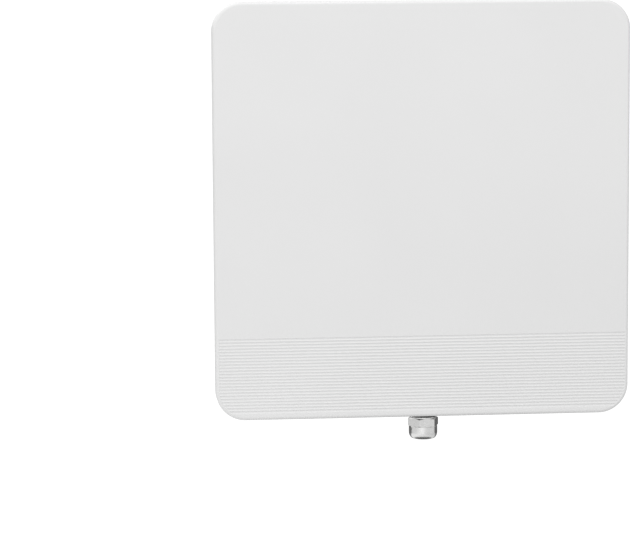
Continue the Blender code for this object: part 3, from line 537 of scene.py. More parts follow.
def radome_plastic(n):
    """Matt moulded plastic: a fine spark-eroded grain and the faintest cloudiness."""
    grain = n.noise(1900.0, 2.0)
    cloudy = n.ranged(n.noise(9.0, 3.0), 0.0, 1.0, 0.3, 0.7)
    colour = n.mixed(cloudy, (0.752, 0.752, 0.752), (0.768, 0.768, 0.768))
    colour = n.mixed(n.ranged(grain, 0.0, 0.12, 0.35, 0.65), colour, (0.70, 0.70, 0.70))
    return n.set(colour=colour, roughness=n.ranged(grain, 0.46, 0.6, 0.3, 0.7), specular=0.42,
                 normal=n.bump(grain, 0.00003, 0.35))


def die_cast_paint(n):
    """Powder coat: orange peel over die-cast metal, a little rubbed on its edges."""
    peel = n.noise(850.0, 1.0)
    colour = n.mixed(n.noise(14.0, 3.0), (0.60, 0.60, 0.59), (0.66, 0.66, 0.65))
    colour = n.worn(colour, 0.0006, 0.5, (0.73, 0.73, 0.72))
    return n.set(colour=colour, roughness=n.ranged(peel, 0.38, 0.52), specular=0.45,
                 normal=n.bump(peel, 0.00008, 0.5))


def galvanised_steel(n):
    """Zinc on sheet steel: small spangles, each with its own tone and polish."""
    spangle = n.voronoi(420.0)
    fine = n.noise(1800.0, 3.0)
    colour = n.mixed(spangle, (0.50, 0.51, 0.53), (0.64, 0.65, 0.66))
    colour = n.mixed(n.ranged(fine, 0.0, 0.35), colour, (0.58, 0.58, 0.59))
    colour = n.worn(colour, 0.0005, 0.6, (0.78, 0.78, 0.79))
    return n.set(colour=colour, metallic=1.0, roughness=n.ranged(spangle, 0.32, 0.5),
                 normal=n.bump(fine, 0.00002, 0.4))


def stainless_steel(n):
    """Turned and rolled stainless: a fine directionless brush with brighter edges."""
    brush = n.noise(2600.0, 4.0, 0.6)
    colour = n.mixed(n.noise(160.0, 3.0), (0.55, 0.545, 0.535), (0.64, 0.635, 0.625))
    colour = n.worn(colour, 0.0003, 0.6, (0.80, 0.80, 0.79))
    return n.set(colour=colour, metallic=1.0, roughness=n.ranged(brush, 0.2, 0.36),
                 normal=n.bump(brush, 0.00001, 0.35))


def nickel_brass(n):
    """Bright nickel on turned brass: lathe rings, faint handling marks, polished edges."""
    rings = n.noise(240.0, 3.0, 0.6, n.stretched((0.4, 0.4, 14.0)))
    marks = n.noise(700.0, 4.0, 0.65)
    marked = n.ranged(marks, 0.0, 1.0, 0.35, 0.65)
    colour = n.mixed(marked, (0.74, 0.74, 0.735), (0.82, 0.82, 0.815))
    colour = n.worn(colour, 0.0003, 0.7, (0.90, 0.90, 0.89))
    return n.set(colour=colour, metallic=1.0, roughness=n.ranged(marks, 0.13, 0.27, 0.3, 0.7),
                 normal=n.bump(rings, 0.00002, 0.3))


def rubber(n):
    """Black moulded rubber, a little dusty."""
    skin = n.noise(1400.0, 2.0)
    dusty = n.ranged(n.noise(60.0, 4.0), 0.0, 0.5, 0.45, 0.8)
    colour = n.mixed(dusty, (0.008, 0.008, 0.008), (0.022, 0.022, 0.021))
    return n.set(colour=colour, roughness=n.ranged(skin, 0.62, 0.82), specular=0.25,
                 normal=n.bump(skin, 0.00004, 0.5))


def bare_aluminium(n):
    """Cast and tumbled aluminium."""
    cast = n.noise(900.0, 4.0, 0.6)
    colour = n.mixed(n.noise(70.0, 3.0), (0.60, 0.60, 0.61), (0.70, 0.70, 0.71))
    colour = n.worn(colour, 0.0004, 0.6, (0.86, 0.86, 0.87))
    return n.set(colour=colour, metallic=1.0, roughness=n.ranged(cast, 0.36, 0.55),
                 normal=n.bump(cast, 0.00005, 0.5))


def circuit_laminate(n):
    """Green solder mask over tracks, with copper on what stands proud of the board's front."""
    tracks = n.voronoi(160.0, "Distance")
    weave = n.noise(1100.0, 2.0)
    colour = n.mixed(n.ranged(tracks, 0.0, 1.0, 0.25, 0.35), (0.02, 0.11, 0.05), (0.03, 0.17, 0.08))
    mask_y = depths("antenna_board")[0] + 0.0004
    depth = n.measured("DOT_PRODUCT", (0, 1, 0))
    colour = n.mixed(n.ranged(depth, 1.0, 0.0, mask_y, mask_y + 0.0001), colour, (0.62, 0.33, 0.17))
    return n.set(colour=colour, roughness=n.ranged(weave, 0.3, 0.45),
                 normal=n.bump(weave, 0.00002, 0.3))


def white_nylon(n):
    """Milky moulded nylon."""
    cloud = n.noise(220.0, 3.0)
    colour = n.mixed(cloud, (0.74, 0.73, 0.68), (0.82, 0.81, 0.77))
    return n.set(colour=colour, roughness=n.ranged(cloud, 0.4, 0.55), subsurface=0.1,
                 normal=n.bump(n.noise(1500.0, 2.0), 0.00002, 0.3))


def black_plastic(n):
    """Black moulded plastic with a fine grain."""
    grain = n.noise(1700.0, 2.0)
    colour = n.mixed(grain, (0.016, 0.016, 0.017), (0.032, 0.032, 0.034))
    return n.set(colour=colour, roughness=n.ranged(grain, 0.36, 0.52),
                 normal=n.bump(grain, 0.00003, 0.5))


def thermal_pad(n):
    """Grey silicone with grains of filler in it."""
    filler = n.noise(2200.0, 2.0)
    colour = n.mixed(filler, (0.27, 0.29, 0.33), (0.36, 0.38, 0.42))
    return n.set(colour=colour, roughness=0.85, normal=n.bump(filler, 0.00005, 0.5))


MATERIALS = {paint.__name__: paint(Nodes(paint.__name__)) for paint in (
    radome_plastic, die_cast_paint, galvanised_steel, stainless_steel, nickel_brass, rubber,
    bare_aluminium, circuit_laminate, white_nylon, black_plastic, thermal_pad)}


def paint_cad_nodes():
    """Every CAD node gets its slot's material, also those that a finer piece will stand for."""
    for entry in frame["record"]["subparts"]:
        slot = frame["nodes"][entry["node"]].material_slots[0]
        slot.link = "OBJECT"
        slot.material = MATERIALS[entry["material_slot"]]


# ---- front cover


def radome_tray():
    """The cover: a rounded front, a plain rim, a ledge behind it and a hollow inside."""
    rim_round, inner_steps, inner = 0.0004, 4, RADOME_WALL + RADOME_INNER_FILLET
    back, ledge = RADOME_DEPTH, RADOME_DEPTH - LEDGE_THICKNESS
    profile = arc((EDGE_FILLET, EDGE_FILLET), EDGE_FILLET, -pi / 2, -pi, FILLET_STEPS)
    profile += [(0, back - rim_round), (rim_round, back), (LEDGE_WIDTH, back)]
    profile += [(LEDGE_WIDTH, ledge), (RADOME_WALL, ledge)]
    profile += arc((inner, inner), RADOME_INNER_FILLET, pi, 3 * pi / 2, inner_steps)
    return tray(profile)


def flute_bars():
    """Bars whose round backs press the grooves into the cover, and run out inside its edges."""
    proud, beyond = 0.0006, 0.0007
    half = FLUTE_PITCH / 2 * FLUTE_SHARE
    bars = []
    for flute in range(FLUTE_COUNT):
        z = PANEL_LOW.z + LOWEST_FLUTE + flute * FLUTE_PITCH
        section = [(FRONT_Y - proud, z - half), (FRONT_Y - proud, z + half)]
        for step in range(FLUTE_STEPS + 1):
            across = 1 - 2 * step / FLUTE_STEPS
            off = across - FLUTE_DEEPEST
            off /= 1 - copysign(FLUTE_DEEPEST, off)
            section.append((FRONT_Y + FLUTE_DEPTH * (1 - off * off), z + half * across))
        bars.append(prism(section, -PANEL_HALF, PANEL_HALF, "x"))
    limit = [(FLUTE_END + FLUTE_RUN_OUT * depth, depth) for depth in (-beyond, 2 * FLUTE_DEPTH)]
    flutes = mesh_object("flutes", gathered(bars))
    trim(flutes, tray(limit))
    cutter = bmesh.new()
    cutter.from_mesh(flutes.data)
    bpy.data.objects.remove(flutes)
    return cutter


def build_radome():
    """The cover with its flutes, and blind holes for the case screws."""
    depth = 0.0045
    cover = mesh_object("radome_cover", radome_tray())
    cut(cover, flute_bars())
    holes = rods("case_screw", PANEL_HIGH.y + PAST, -BACKWARD, depth, CASE_HOLE_RADIUS, 16)
    cut(cover, *holes)
    settle(cover, "radome_plastic", "panel", "radome")


# ---- rear housing


def housing_tray():
    """The casting: a rounded back, a drafted wall, a flange and the cavity."""
    rim_round, back_steps, root_steps = 0.0005, 6, 4
    flange_front = CASE_LOW.y - FRONT_Y
    flange_back = flange_front + FLANGE_THICKNESS
    rim = PANEL_HALF - CASE_HIGH.x
    back = (WALL_INSET + WALL_DRAFT + BACK_FILLET, BACK_DEPTH - BACK_FILLET)
    root = (WALL_INSET - WALL_ROOT_FILLET, flange_back + WALL_ROOT_FILLET)
    profile = arc(back, BACK_FILLET, pi / 2, pi, back_steps)
    profile += arc(root, WALL_ROOT_FILLET, 0, -pi / 2, root_steps)
    profile += [(rim + rim_round, flange_back), (rim, flange_back - rim_round)]
    profile += [(rim, flange_front + rim_round), (rim + rim_round, flange_front)]
    profile += [(CAVITY_INSET, flange_front), (CAVITY_INSET + CAVITY_DRAFT, BACK_DEPTH - WALL)]
    return tray(profile)


def fin_bars():
    """Tapered fins with rounded tips, run out at both ends."""
    root_y, tip_y = FRONT_Y + BACK_DEPTH - PAST, FRONT_Y + FIN_TIP_DEPTH
    bars = []
    for index in range(FIN_COUNT):
        x = (index - (FIN_COUNT - 1) / 2) * FIN_PITCH
        section = [(x - FIN_ROOT / 2, root_y)]
        section += arc((x, tip_y - FIN_TIP / 2), FIN_TIP / 2, pi, 0, 6)
        section += [(x + FIN_ROOT / 2, root_y)]
        bar = prism(section, -FIN_HALF_LENGTH, FIN_HALF_LENGTH)
        for vert in bar.verts:
            rise = (vert.co.y - root_y) / (tip_y - root_y)
            vert.co.z -= copysign(FIN_RUN_OUT * rise, vert.co.z)
        bars.append(bar)
    return bars


def housing_bosses():
    """The bracket's feet, the boards' posts, the heat pedestal and the gland's boss."""
    outside = FRONT_Y + BACK_DEPTH - PAST
    inside = FRONT_Y + BACK_DEPTH - WALL + PAST
    top = CASE_HIGH.y - outside
    foot = [(0, 0), (0.0108, 0), (0.0108, 0.0014), (0.0098, 0.0026)]
    foot += [(0.0090, top - 0.0005), (0.0085, top), (0, top)]
    bosses = [placed(turned(foot, 48), BACKWARD, in_line(name, outside))
              for name in family("bracket_bolt")]
    for kind, board in (("antenna_spacer", "reflector_plate"), ("board_screw", "radio_board")):
        length = inside - (depths(board)[1] + SCREW_GAP)
        bosses += rods(kind, inside, -BACKWARD, length, POST_RADIUS, 24)
    low, high = corners_of("thermal_pad")
    outline = [(low.x, low.z), (high.x, low.z), (high.x, high.z), (low.x, high.z)]
    bosses.append(prism(outline, high.y + SCREW_GAP, inside, "y"))
    radius, chamfer, shoulder = 0.0135, 0.0006, 0.001
    length = GLAND_BOSS_TOP - GLAND_BOSS_FACE
    levels = [(0, 0), (radius - chamfer, 0), (radius, chamfer), (radius, length - shoulder)]
    levels += [(radius - shoulder, length), (0, length)]
    bosses.append(placed(turned(levels, 64), UP, (GLAND_AXIS.x, GLAND_AXIS.y, GLAND_BOSS_FACE)))
    return bosses


def housing_holes():
    """Holes for the screws and bolts, the boards, the gland, the vent and the earth."""
    holes = rods("case_screw", CASE_LOW.y - PAST, BACKWARD, 0.007, CASE_HOLE_RADIUS, 20)
    holes += rods("bracket_bolt", CASE_HIGH.y + PAST, -BACKWARD, 0.0105, M6_HOLE_RADIUS, 24)
    for kind, board, depth in (("antenna_spacer", "reflector_plate", 0.010),
                               ("board_screw", "radio_board", 0.012)):
        holes += rods(kind, depths(board)[0], BACKWARD, depth, POST_HOLE_RADIUS, 16)
    gland_start = (GLAND_AXIS.x, GLAND_AXIS.y, GLAND_BOSS_FACE - 0.002)
    holes.append(rod(gland_start, UP, 0.022, 0.0101, 48))
    for node, length, radius, steps in (("vent_plug", 0.012, 0.0052, 32),
                                        ("ground_screw", 0.014, 0.0026, 24)):
        holes.append(rod(centre_of(node) - UP * 0.004, UP, length, radius, steps))
    return holes


def gasket_groove():
    """A ring that cuts the gasket's groove round the cavity."""
    high = corners_of("case_gasket")[1]
    outer, inner = PANEL_HALF - high.x - SCREW_GAP, GASKET_INSET
    front, back = CASE_LOW.y - PAST - FRONT_Y, high.y - FRONT_Y + SCREW_GAP
    return tray([(outer, front), (outer, back), (inner, back), (inner, front)], True)


def build_housing():
    """The casting with its fins, bosses, holes and gasket groove."""
    housing = mesh_object("housing_casting", housing_tray())
    join(housing, *fin_bars())
    join(housing, *housing_bosses())
    cut(housing, *housing_holes())
    cut(housing, gasket_groove())
    settle(housing, "die_cast_paint", "panel", "rear_housing")


# ---- fasteners


def hexagon_head(flats, height, flange_radius, flange_height):
    """A hexagon with a domed chamfer, over a flange if that has a radius. Its seat is at z = 0."""
    soft, steps, slope = 0.0002, 72, 0.5
    corner = hexagon_corner(flats)
    crown, outside = flats / 2 * 0.93, corner * 1.3
    limit = [(0, 0), (outside, 0), (outside, height - (outside - crown) * slope)]
    limit += [(crown, height), (0, height)]
    head = mesh_object("head", prism(hexagon(flats, pi / 6), flange_height * 0.5, height))
    trim(head, turned(limit, steps))
    if flange_radius:
        levels = [(0, 0), (flange_radius - soft, 0), (flange_radius, soft)]
        levels += [(flange_radius, flange_height * 0.35), (corner * 1.02, flange_height)]
        levels += [(0, flange_height)]
        join(head, turned(levels, steps))
    return head


def bolt(head, radius, length, pitch, plain=0.0):
    """The head with a threaded shank down from z = 0, plain for its first stretch."""
    overlap = 0.0006
    start = (0, 0, -plain - overlap)
    join(head, rod(start, UP, plain + 2 * overlap, radius * 0.97, 20))
    join(head, threaded_rod(radius, pitch, -length, -plain))
    return head


def build_case_screws():
    """Round-headed socket screws."""
    radius, height, rounding, soft = 0.0028, 0.0022, 0.0007, 0.0002
    floor, recess, socket_flats = 0.0009, 0.00125, 0.0025
    levels = [(0, floor), (recess, floor), (recess, height - soft), (0.0014, height)]
    levels += arc((radius - rounding, height - rounding), rounding, pi / 2, 0, 5)
    levels += [(radius, soft), (radius - soft, 0), (0, 0)]
    screw = mesh_object("screw", turned(levels, 48))
    cut(screw, prism(hexagon(socket_flats), floor, height + PAST))
    bolt(screw, radius=0.0014, length=0.0072, pitch=0.0007)
    settle_copies(screw, "panel", seats("case_screw", height))


def build_bracket_bolts():
    height = 0.0056
    head = hexagon_head(0.010, height, flange_radius=0.0070, flange_height=0.0016)
    bolt(head, radius=0.0029, length=0.011, pitch=0.001)
    settle_copies(head, "panel", seats("bracket_bolt", height))


def build_tilt_bolts():
    """M8 flanged bolts from both sides, plain where the brackets turn on them."""
    height = 0.0078
    head = hexagon_head(0.013, height, flange_radius=0.0088, flange_height=0.0019)
    bolt(head, radius=0.0039, length=0.0125, pitch=0.00125, plain=0.004)
    places = {}
    for name in family("pivot_bolt") + family("lock_bolt"):
        low, high = corners_of(name)
        centre = centre_of(name)
        side = copysign(1, centre.x)
        outer = high.x if side > 0 else low.x
        places[name] = ((side, 0, 0), (outer - side * height, centre.y, centre.z))
    settle_copies(head, "mast_clamp", places)


def build_u_bolt_nuts():
    nut = hexagon_head(0.013, 0.008, flange_radius=0.0088, flange_height=0.0019)
    cut(nut, rod((0, 0, -PAST), UP, 0.012, M8_HOLE_RADIUS, 32))
    settle_copies(nut, "mast_clamp", {name: (-BACKWARD, in_line(name, depths(name)[1]))
                                      for name in family("u_bolt_nut")})


# ---- gland and small fittings


def settle_gland(thing, slot, body, node):
    """Moves a piece made about Z to the gland's axis and settles it."""
    put(thing, UP, GLAND_FOOT)
    settle(thing, slot, body, node)


def soft_ring(node, inner, outer, rounding, slot):
    """A ring with rounded outer edges, in a CAD ring's place."""
    bottom, top = heights(node)
    levels = [(inner, top)]
    levels += arc((outer - rounding, top - rounding), rounding, pi / 2, 0, 5)
    levels += arc((outer - rounding, bottom + rounding), rounding, 0, -pi / 2, 5)
    levels += [(inner, bottom)]
    body = "gland_ring" if node == "gland_slip_ring" else "panel"
    settle_gland(mesh_object(f"{node}_fine", turned(levels, 96, True)), slot, body, node)


def build_gland_body():
    """A chamfered hexagon, a thread up into the housing, a sleeve down into the nut, and a bore."""
    crown, drop, sleeve, bore = 0.0112, 0.0009, 0.0090, 0.0073
    bottom, top = heights("gland_body")
    hex_top = heights("gland_entry_washer")[0] - SCREW_GAP
    hex_bottom = heights("gland_o_ring")[1] + SCREW_GAP
    corner = hexagon_corner(GLAND_FLATS)
    body = mesh_object("gland_body_fine", prism(hexagon(GLAND_FLATS), hex_bottom, hex_top))
    limit = [(0, hex_top), (crown, hex_top), (corner, hex_top - drop)]
    limit += [(corner, hex_bottom + drop), (crown, hex_bottom), (0, hex_bottom)]
    trim(body, turned(limit, 96))
    join(body, threaded_rod(0.0098, 0.0015, hex_top - PAST, top, 48))
    join(body, rod((0, 0, bottom), UP, hex_bottom - bottom + PAST, sleeve, 72))
    cutter = rod((0, 0, bottom - PAST), UP, top - bottom + 2 * PAST, bore, 72)
    cut(body, cutter)
    settle_gland(body, "nickel_brass", "panel", "gland_body")


def build_gland_seal():
    """The grommet: a sleeve in the body's bore on a wider lip."""
    bore, sleeve, lip, chamfer = 0.0032, 0.0070, 0.0087, 0.0004
    bottom, top = heights("gland_seal")
    seat = bottom + 0.0012
    levels = [(bore + chamfer, top), (sleeve - 0.0006, top), (sleeve, top - 0.0006)]
    levels += [(sleeve, seat), (lip, seat), (lip, bottom + chamfer), (lip - chamfer, bottom)]
    levels += [(bore + 0.0006, bottom), (bore, bottom + 0.0010), (bore, top - 0.0010)]
    seal = mesh_object("gland_seal_fine", turned(levels, 72, True))
    settle_gland(seal, "rubber", "panel", "gland_seal")


def build_gland_nut():
    """A chamfered hexagon with a collar above, a dome below a neck groove, and a stepped bore."""
    steps, collar, collar_round = 144, 0.0109, 0.0002
    dome, rim, rounding, neck, neck_drop = 0.0115, 0.0080, 0.0055, 0.0107, 0.0003
    entry, bore, mouth = 0.0093, 0.0070, 0.0074
    bottom, top = heights("gland_nut")
    hex_bottom = top - NUT_HEX_HEIGHT
    corner = hexagon_corner(GLAND_FLATS)
    outline = hexagon(GLAND_FLATS, NUT_TURN)
    nut = mesh_object("gland_nut_fine", prism(outline, hex_bottom, top - 0.0008))
    limit = [(0, top - 0.0007), (collar, top - 0.0009), (corner, top - 0.0019)]
    limit += [(corner, hex_bottom + 0.0005), (corner - 0.0006, hex_bottom)]
    limit += [(0, hex_bottom - 0.0001)]
    trim(nut, turned(limit, steps))
    ring = [(0, top - 0.0030), (collar, top - 0.0030)]
    ring += arc((collar - collar_round, top - collar_round), collar_round, 0, pi / 2, 3)
    ring += [(0, top)]
    join(nut, turned(ring, steps))
    levels = [(0, hex_bottom + 0.0010), (neck, hex_bottom + 0.0010), (neck, hex_bottom - neck_drop)]
    levels += [(dome - 0.0001, hex_bottom - neck_drop), (dome, hex_bottom - neck_drop - 0.0001)]
    levels += [(rim + (dome - rim) * x, bottom + rounding * (1 - y))
               for x, y in arc((0, 0), 1, 0, pi / 2, 12)]
    levels += [(0, bottom)]
    join(nut, turned(levels, steps))
    shoulder = heights("gland_slip_ring")[0] - SCREW_GAP
    cutter = [(0, top + PAST), (entry, top + PAST), (entry, shoulder), (bore, shoulder)]
    cutter += [(bore, bottom + 0.0006), (mouth, bottom), (mouth, bottom - PAST), (0, bottom - PAST)]
    cut(nut, turned(cutter, 96))
    settle_gland(nut, "nickel_brass", "gland_nut", "gland_nut")


def build_vent_plug():
    """A breather with a ribbed head, a thread and a bore."""
    shank, head, chamfer, ribs = 0.0052, 0.0066, 0.0012, 18
    bottom, top = heights("vent_plug")
    seat = bottom + 0.0052
    levels = [(0, bottom), (shank, bottom), (head, bottom + chamfer), (head, seat), (0, seat)]
    plug = mesh_object("vent_plug_fine", turned(levels, 96))
    slots = [rod((x, y, bottom - PAST), UP, 0.005, 0.0004, 12)
             for x, y in circle(head * 1.03, ribs)]
    cut(plug, *slots)
    join(plug, threaded_rod(0.0048, 0.0012, seat - 0.0005, top, 32))
    cutter = rod((0, 0, bottom - PAST), UP, top - bottom + 2 * PAST, 0.001, 24)
    cut(plug, cutter)
    centre = centre_of("vent_plug")
    put(plug, UP, (centre.x, centre.y, 0))
    settle(plug, "black_plastic", "panel", "vent_plug")


def build_ground_fittings():
    """The earth terminal: a slotted hexagon screw over a toothed washer."""
    height, slot_half, slot_floor = 0.0040, 0.0005, 0.0028
    bottom, top = heights("ground_screw")
    centre = centre_of("ground_screw")
    seat = bottom + height
    screw = hexagon_head(0.008, height, flange_radius=0.0, flange_height=0.001)
    join(screw, rod((0, 0, 0), UP, 0.001, 0.0044, 48))
    slot = [(-0.006, -slot_half), (0.006, -slot_half), (0.006, slot_half), (-0.006, slot_half)]
    cut(screw, prism(slot, slot_floor, height + 2 * PAST))
    bolt(screw, radius=0.0022, length=top - seat, pitch=0.0008)
    put(screw, -UP, (centre.x, centre.y, seat))
    settle(screw, "stainless_steel", "panel", "ground_screw")
    inner, outer, soft, teeth = 0.0026, 0.0060, 0.0002, 16
    low, high = heights("ground_washer")
    levels = [(inner, high), (outer, high), (outer, low + soft), (outer - soft, low), (inner, low)]
    washer = mesh_object("ground_washer_fine", turned(levels, 72, True))
    grooves = []
    for x, y in circle(1, teeth):
        across = Vector((x, y, 0))
        grooves.append(rod(across * 0.0048 + UP * (low - soft), across, 0.002, 0.0004, 8))
    cut(washer, *grooves)
    put(washer, UP, (centre.x, centre.y, 0))
    settle(washer, "stainless_steel", "panel", "ground_washer")


# ---- brackets and clamp


def channel(half_width, web_y, ear_y, half_height):
    """A U channel along Z with rounded bends: web at web_y, ears reaching ear_y."""
    way = copysign(1, ear_y - web_y)
    bend = BEND_RADIUS + SHEET

    def skin(radius):
        """One face of the sheet round both bends, from the right to the left."""
        points = []
        for side, start, end in ((1, 0, -pi / 2), (-1, -pi / 2, -pi)):
            points += [(side * (half_width - bend) + x, web_y + way * (bend + y))
                       for x, y in arc((0, 0), radius, start, end, BEND_STEPS)]
        return points

    outline = [(half_width, ear_y)] + skin(bend) + [(-half_width, ear_y)]
    outline += [(SHEET - half_width, ear_y)] + skin(BEND_RADIUS)[::-1]
    outline += [(half_width - SHEET, ear_y)]
    return prism(outline, -half_height, half_height)


def trim_channel(thing, web_y, way, web_half, ear):
    """Cuts the channel's side view: full height at the web, the ear's outline beyond it."""
    start, edge = web_y - way * PAST, web_y + way * (SHEET + 0.0004)
    root = [z for y, z in ear if abs(y - web_y) < SHEET]
    bottom, top = min(root), max(root)
    beyond = [point for point in ear if way * (point[0] - edge) > 0]
    middle = (top + bottom) / 2
    beyond.sort(key=lambda point: atan2(point[1] - middle, way * (point[0] - web_y)))
    outline = [(start, -web_half), (edge, -web_half), (edge, bottom)] + beyond
    outline += [(edge, top), (edge, web_half), (start, web_half)]
    trim(thing, prism(outline, -PANEL_HALF, PANEL_HALF, "x"))


def tilt_slot():
    """The lock bolt's slot, an arc about the pivot."""
    centre, radius = (PIVOT.y, PIVOT.z), PIVOT.z - centre_of("lock_bolt_left").z
    low, high = -pi / 2 - TILT_LIMIT, -pi / 2 + TILT_LIMIT
    outline = arc(centre, radius + SLOT_HALF, low, high, SLOT_STEPS)
    end = around(centre, radius, high)
    outline += arc(end, SLOT_HALF, high, high + pi, SLOT_STEPS)[1:-1]
    outline += arc(centre, radius - SLOT_HALF, high, low, SLOT_STEPS)
    end = around(centre, radius, low)
    outline += arc(end, SLOT_HALF, low + pi, low + 2 * pi, SLOT_STEPS)[1:-1]
    return outline


def build_panel_bracket():
    """The outer channel, with the pivot's holes, the tilt slots and the bolts' holes."""
    low, high = corners_of("panel_bracket")
    pivot, reach = (PIVOT.y, PIVOT.z), PIVOT.z - centre_of("lock_bolt_left").z
    ear = [(low.y + 0.0005, -0.052), (low.y + 0.0005, 0.046)] + circle(PIVOT_EAR, EAR_STEPS, pivot)
    for side in (-1, 1):
        ear += circle(0.0095, EAR_STEPS, around(pivot, reach, -pi / 2 + side * TILT_LIMIT))
    bracket = mesh_object("panel_bracket_fine", channel(high.x, low.y, high.y, high.z))
    trim_channel(bracket, low.y, 1, high.z, hull(ear))
    half = high.x + 10 * PAST
    cuts = [rod((-half, PIVOT.y, PIVOT.z), (1, 0, 0), 2 * half, M8_HOLE_RADIUS, 40)]
    cuts.append(prism(tilt_slot(), -half, half, "x"))
    cuts += rods("bracket_bolt", low.y - PAST, BACKWARD, 0.006, M6_HOLE_RADIUS, 32)
    cut(bracket, *cuts)
    bevel(bracket, 40)
    settle(bracket, "galvanised_steel", "panel", "panel_bracket")


def build_mast_bracket():
    """The inner channel, with its clinch nuts and the holes for the U-bolts and the wall screws."""
    low, high = corners_of("mast_bracket")
    lock = centre_of("lock_bolt_left")
    ear = [(high.y - 0.0005, -0.046), (high.y - 0.0005, 0.042)]
    for end, radius in ((PIVOT, PIVOT_EAR), (lock, 0.012)):
        ear += circle(radius, EAR_STEPS, (end.y, end.z))
    bracket = mesh_object("mast_bracket_fine", channel(high.x, high.y, low.y, high.z))
    trim_channel(bracket, high.y, -1, high.z, hull(ear))
    radius, length, soft = 0.0070, 0.00725, 0.0005
    nut = [(0, 0), (radius, 0), (radius, 0.0068), (radius - soft, length), (0, length)]
    half = high.x + 10 * PAST
    nuts, cuts = [], []
    for centre in (PIVOT, lock):
        for side in (-1, 1):
            start = (side * (high.x - SHEET / 2), centre.y, centre.z)
            nuts.append(placed(turned(nut, 48), (-side, 0, 0), start))
        start = (-half, centre.y, centre.z)
        cuts.append(rod(start, (1, 0, 0), 2 * half, M8_HOLE_RADIUS, 40))
    join(bracket, *nuts)
    web_front = high.y - SHEET - PAST
    cuts += rods("u_bolt_nut", web_front, BACKWARD, 0.006, 0.0046, 40)
    cuts += [rod((x, web_front, z), BACKWARD, 0.006, M6_HOLE_RADIUS, 32) for x, z in WALL_HOLES]
    cut(bracket, *cuts)
    bevel(bracket, 40)
    settle(bracket, "galvanised_steel", "mast_clamp", "mast_bracket")


def build_saddles():
    """Cast V blocks with gripping teeth cut into both slopes, and pockets in both ends."""
    teeth, tooth_depth, flat, valley = 14, 0.0006, 0.0015, 0.0032
    pocket_in, pocket_out, pocket_depth = 0.012, 0.026, 0.0085
    for name in family("mast_saddle"):
        low, high = corners_of(name)
        slope = []
        for index in range(2 * teeth + 1):
            share = index / (2 * teeth)
            drop = tooth_depth if index % 2 else 0.0
            rise = (low.y + valley - high.y) * share
            slope.append(((high.x - flat) * (1 - share), high.y + rise - drop))
        outline = [(-high.x, low.y), (high.x, low.y), (high.x, high.y)] + slope
        outline += [(-x, y) for x, y in reversed(slope[:-1])] + [(-high.x, high.y)]
        saddle = mesh_object(f"{name}_fine", prism(outline, low.z, high.z))
        pockets = []
        for side in (-1, 1):
            pocket = [(side * pocket_in, low.y + 0.0028), (side * pocket_out, low.y + 0.0028),
                      (side * pocket_out, low.y + 0.0120), (side * pocket_in, low.y + 0.0055)]
            pockets.append(prism(pocket, low.z - PAST, low.z + pocket_depth))
            pockets.append(prism(pocket, high.z - pocket_depth, high.z + PAST))
        cut(saddle, *pockets)
        bevel(saddle, 50)
        settle(saddle, "bare_aluminium", "mast_clamp", name)


def u_bolt_stations(low, high, wire, thread_length, pitch):
    """(Point, outward direction, distance from the end, threaded) along the whole wire."""
    bend, bend_steps = high.x - wire, 48
    centre_y, z = high.y - wire - bend, (low.z + high.z) / 2
    count = int(thread_length / pitch * THREAD_ROWS)
    leg = [(thread_length * index / count, True) for index in range(count + 1)]
    leg.append((thread_length + PAST, False))
    stations = [(Vector((-bend, low.y + along, z)), Vector((-1, 0, 0)), along, threaded)
                for along, threaded in leg]
    for index in range(bend_steps + 1):
        out = Vector((*around((0, 0), 1, pi - index / bend_steps * pi), 0))
        stations.append((Vector((0, centre_y, z)) + out * bend, out, centre_y - low.y, False))
    stations += [(Vector((bend, low.y + along, z)), Vector((1, 0, 0)), along, threaded)
                 for along, threaded in reversed(leg)]
    return stations


def build_u_bolts():
    """Bent wires with threads on both legs."""
    wire, pitch, thread_length, thread_depth = 0.004, 0.00125, 0.030, 0.0007
    chamfer_length, steps = 0.0008, 24
    for name in family("u_bolt_lower") + family("u_bolt_upper"):
        low, high = corners_of(name)
        rings = []
        for at, out, along, threaded in u_bolt_stations(low, high, wire, thread_length, pitch):
            ring = []
            for step, (x, y) in enumerate(circle(1, steps)):
                reach = wire
                if threaded:
                    fade = min(1.0, (thread_length - along) / pitch)
                    phase = (along / pitch - copysign(step / steps, out.x)) % 1.0
                    reach -= thread_depth * fade * (1 - abs(2 * phase - 1))
                    reach -= max(0.0, chamfer_length - along)
                ring.append(at + reach * (out * x + UP * y))
            rings.append(ring)
        wire_piece = mesh_object(f"{name}_fine", closed_shape(rings))
        settle(wire_piece, "stainless_steel", "mast_clamp", name)


# ---- stage, light and camera


def camera_only(tree, otherwise):
    """A value that is 1 to the camera and another to every other ray."""
    seen = added(tree, "LightPath", "Is Camera Ray", {})
    return added(tree, "Mix", "Result", {"Factor": seen, "A": otherwise, "B": 1.0})


